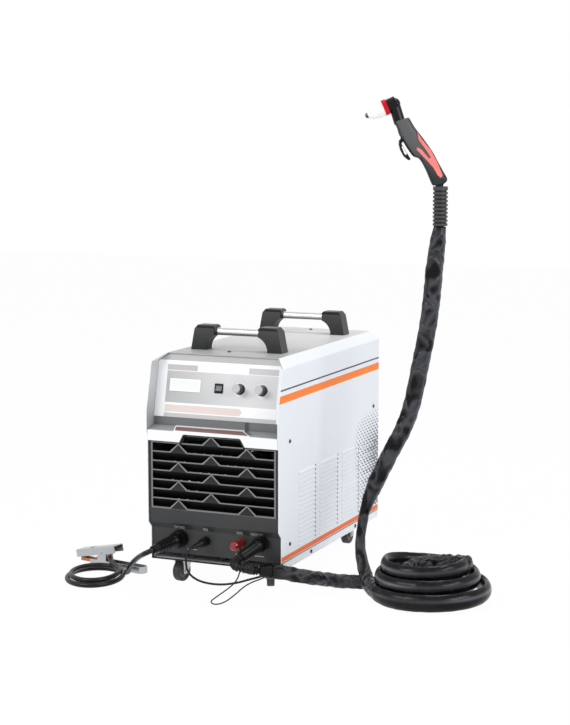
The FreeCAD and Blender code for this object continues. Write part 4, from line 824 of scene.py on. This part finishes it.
# Torch: the two edges of the handle's outline in its own plane, in millimetres

front_edge = smooth_line([(133, 925), (128, 938), (117, 963), (104, 984), (90, 990.5),
                          (78, 1006), (66, 1025), (57.5, 1040), (53.5, 1053), (46, 1067)], 90)
back_edge = smooth_line([(160, 927), (167.5, 939), (157.5, 958), (144, 982), (137, 995),
                         (128, 1009), (114, 1028), (104, 1041), (93, 1055), (80, 1077)], 90)


def grip_skin():
    """Handle: a superellipse across from the front edge to the back edge of its outline."""
    angle = np.linspace(0, 2 * np.pi, 64, endpoint=False)
    middle = (front_edge + back_edge) / 2
    half = (back_edge - front_edge) / 2
    t = np.linspace(0, 1, 90)
    depth = np.interp(t, [0, 0.02, 0.1, 0.9, 0.98, 1], [12.5, 14.5, 17.0, 16.6, 15.5, 14.0])
    pull = np.interp(t, [0, 0.015, 0.05, 0.96, 0.99, 1], [0.86, 0.95, 1.0, 1.0, 0.97, 0.9])
    power = 2 / 2.7
    edgeways = signed_power(np.cos(angle), power)
    sideways = signed_power(np.sin(angle), power)
    along = middle[:, :1] + half[:, :1] * pull[:, None] * edgeways
    height = middle[:, 1:] + half[:, 1:] * pull[:, None] * edgeways
    across = depth[:, None] * sideways * (1 - 0.02 * (np.abs(sideways) > 0.98))
    return skin("torch_grip", torch_at(along, across, height), grey_plastic, slot="grey_plastic")


grip = grip_skin()
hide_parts("torch_handle_left", "torch_handle_right")

# Outline of the forked inlay, in steps back and down from the top of the handle
inlay_steps = np.array([(23.5, 11), (28, 18), (37, 29), (44, 42), (49, 54), (47.5, 57), (44, 54),
                        (40, 47), (34, 40), (23, 28.5), (23.5, 26), (28, 28.5), (35.5, 37.5),
                        (37, 36), (31, 27), (25, 19)])
inlay_plan = np.stack([44.4 + inlay_steps[:, 0] * 2.269, 1068.8 - inlay_steps[:, 1] * 2.227], 1)
grip_side, inlay_foot = 17.4, 14.0


def inlay(name, sign):
    """Forked inlay: a flat plate with the outline's shape on one side of the grip."""
    count = len(inlay_plan)
    outer = torch_at(inlay_plan[:, 0], sign * grip_side, inlay_plan[:, 1])
    inner = torch_at(inlay_plan[:, 0], sign * inlay_foot, inlay_plan[:, 1])
    ring = np.arange(count)
    following = np.roll(ring, -1)
    walls = np.stack([ring, following, following + count, ring + count], 1).tolist()
    faces = [ring.tolist(), (ring[::-1] + count).tolist()] + walls
    piece(name, np.vstack([outer, inner]), faces, pink_red, slot="red_plastic", smooth=False)


inlay("inlay_near", -1.0)
inlay("inlay_far", 1.0)

# Camera, lights and floor

scene = bpy.context.scene
camera = bpy.data.objects.new("camera", bpy.data.cameras.new("camera"))
scene.collection.objects.link(camera)
camera.data.sensor_fit = "VERTICAL"
camera.data.sensor_height = 36.0
camera.data.lens = 86.82
camera.location = (1.6927, -3.8365, 1.0564)
camera.rotation_euler = (math.radians(90 - 7.684), 0.0, math.radians(23.281))
camera.data.clip_end = 50.0
scene.camera = camera


def soft_lamp(name, place, target, size, power):
    """Oblong softbox that faces a point."""
    lamp = bpy.data.lights.new(name, "AREA")
    lamp.shape = "RECTANGLE"
    lamp.size, lamp.size_y = size
    lamp.energy = power
    made = bpy.data.objects.new(name, lamp)
    scene.collection.objects.link(made)
    way = np.array(target) - np.array(place)
    made.location = place
    flat = math.hypot(way[0], way[1])
    made.rotation_euler = (math.atan2(flat, -way[2]), 0.0, math.atan2(way[0], -way[1]) + math.pi)


soft_lamp("key_box", (-1.6, -2.6, 2.2), (0.0, 0.0, 0.4), (2.2, 0.7), 50.0)
soft_lamp("side_box", (3.0, -1.2, 1.6), (0.1, 0.0, 0.4), (2.0, 0.8), 40.0)
soft_lamp("top_box", (0.4, 0.3, 3.0), (0.2, 0.0, 0.3), (1.4, 0.9), 30.0)

world = bpy.data.worlds.new("studio")
scene.world = world
world.use_nodes = True
tree = world.node_tree
# What lights the object is dimmer and cooler than the white that the camera sees
lighting = tree.nodes["Background"]
lighting.inputs["Color"].default_value = (0.93, 0.95, 1.0, 1.0)
lighting.inputs["Strength"].default_value = 0.55
seen = tree.nodes.new("ShaderNodeBackground")
seen.inputs["Color"].default_value = (1.0, 1.0, 1.0, 1.0)
seen.inputs["Strength"].default_value = 1.0
blend = tree.nodes.new("ShaderNodeMixShader")


def seen_rays(tree):
    """1 on rays from the camera, mirrored rays and rays through clear pieces."""
    rays = tree.nodes.new("ShaderNodeLightPath")
    total = rays.outputs["Is Camera Ray"]
    for name in ("Is Glossy Ray", "Is Transmission Ray"):
        added = tree.nodes.new("ShaderNodeMath")
        added.operation = "ADD"
        added.use_clamp = True
        tree.links.new(total, added.inputs[0])
        tree.links.new(rays.outputs[name], added.inputs[1])
        total = added.outputs[0]
    return total


tree.links.new(seen_rays(tree), blend.inputs[0])
tree.links.new(lighting.outputs[0], blend.inputs[1])
tree.links.new(seen.outputs[0], blend.inputs[2])
tree.links.new(blend.outputs[0], tree.nodes["World Output"].inputs["Surface"])

floor_finish = Finish("studio_floor", shade(246, 246, 246), 0.9, specular=0.1)
glow = floor_finish.node("ShaderNodeEmission", (), {"Color": (1.0, 1.0, 1.0, 1.0),
                                                    "Strength": 1.0})
# The remaining 3 % of the floor keeps the shadow
share = Tone(floor_finish, seen_rays(floor_finish.tree)) * 0.97
floor_blend = floor_finish.node("ShaderNodeMixShader", (), {0: share})
floor_tree = floor_finish.tree
floor_tree.links.new(floor_finish.shader.outputs[0], floor_blend.inputs[1])
floor_tree.links.new(glow.outputs[0], floor_blend.inputs[2])
floor_tree.links.new(floor_blend.outputs[0], floor_tree.nodes["Material Output"].inputs["Surface"])
reach = 9
floor_corners = [(-reach, -reach, 0), (reach, -reach, 0), (reach, reach, 0), (-reach, reach, 0)]
floor_mesh = bpy.data.meshes.new("floor")
floor_mesh.from_pydata(floor_corners, [], [(0, 1, 2, 3)])
floor_mesh.materials.append(floor_finish.material)
floor = bpy.data.objects.new("floor", floor_mesh)
scene.collection.objects.link(floor)

scene.view_settings.view_transform = "Standard"
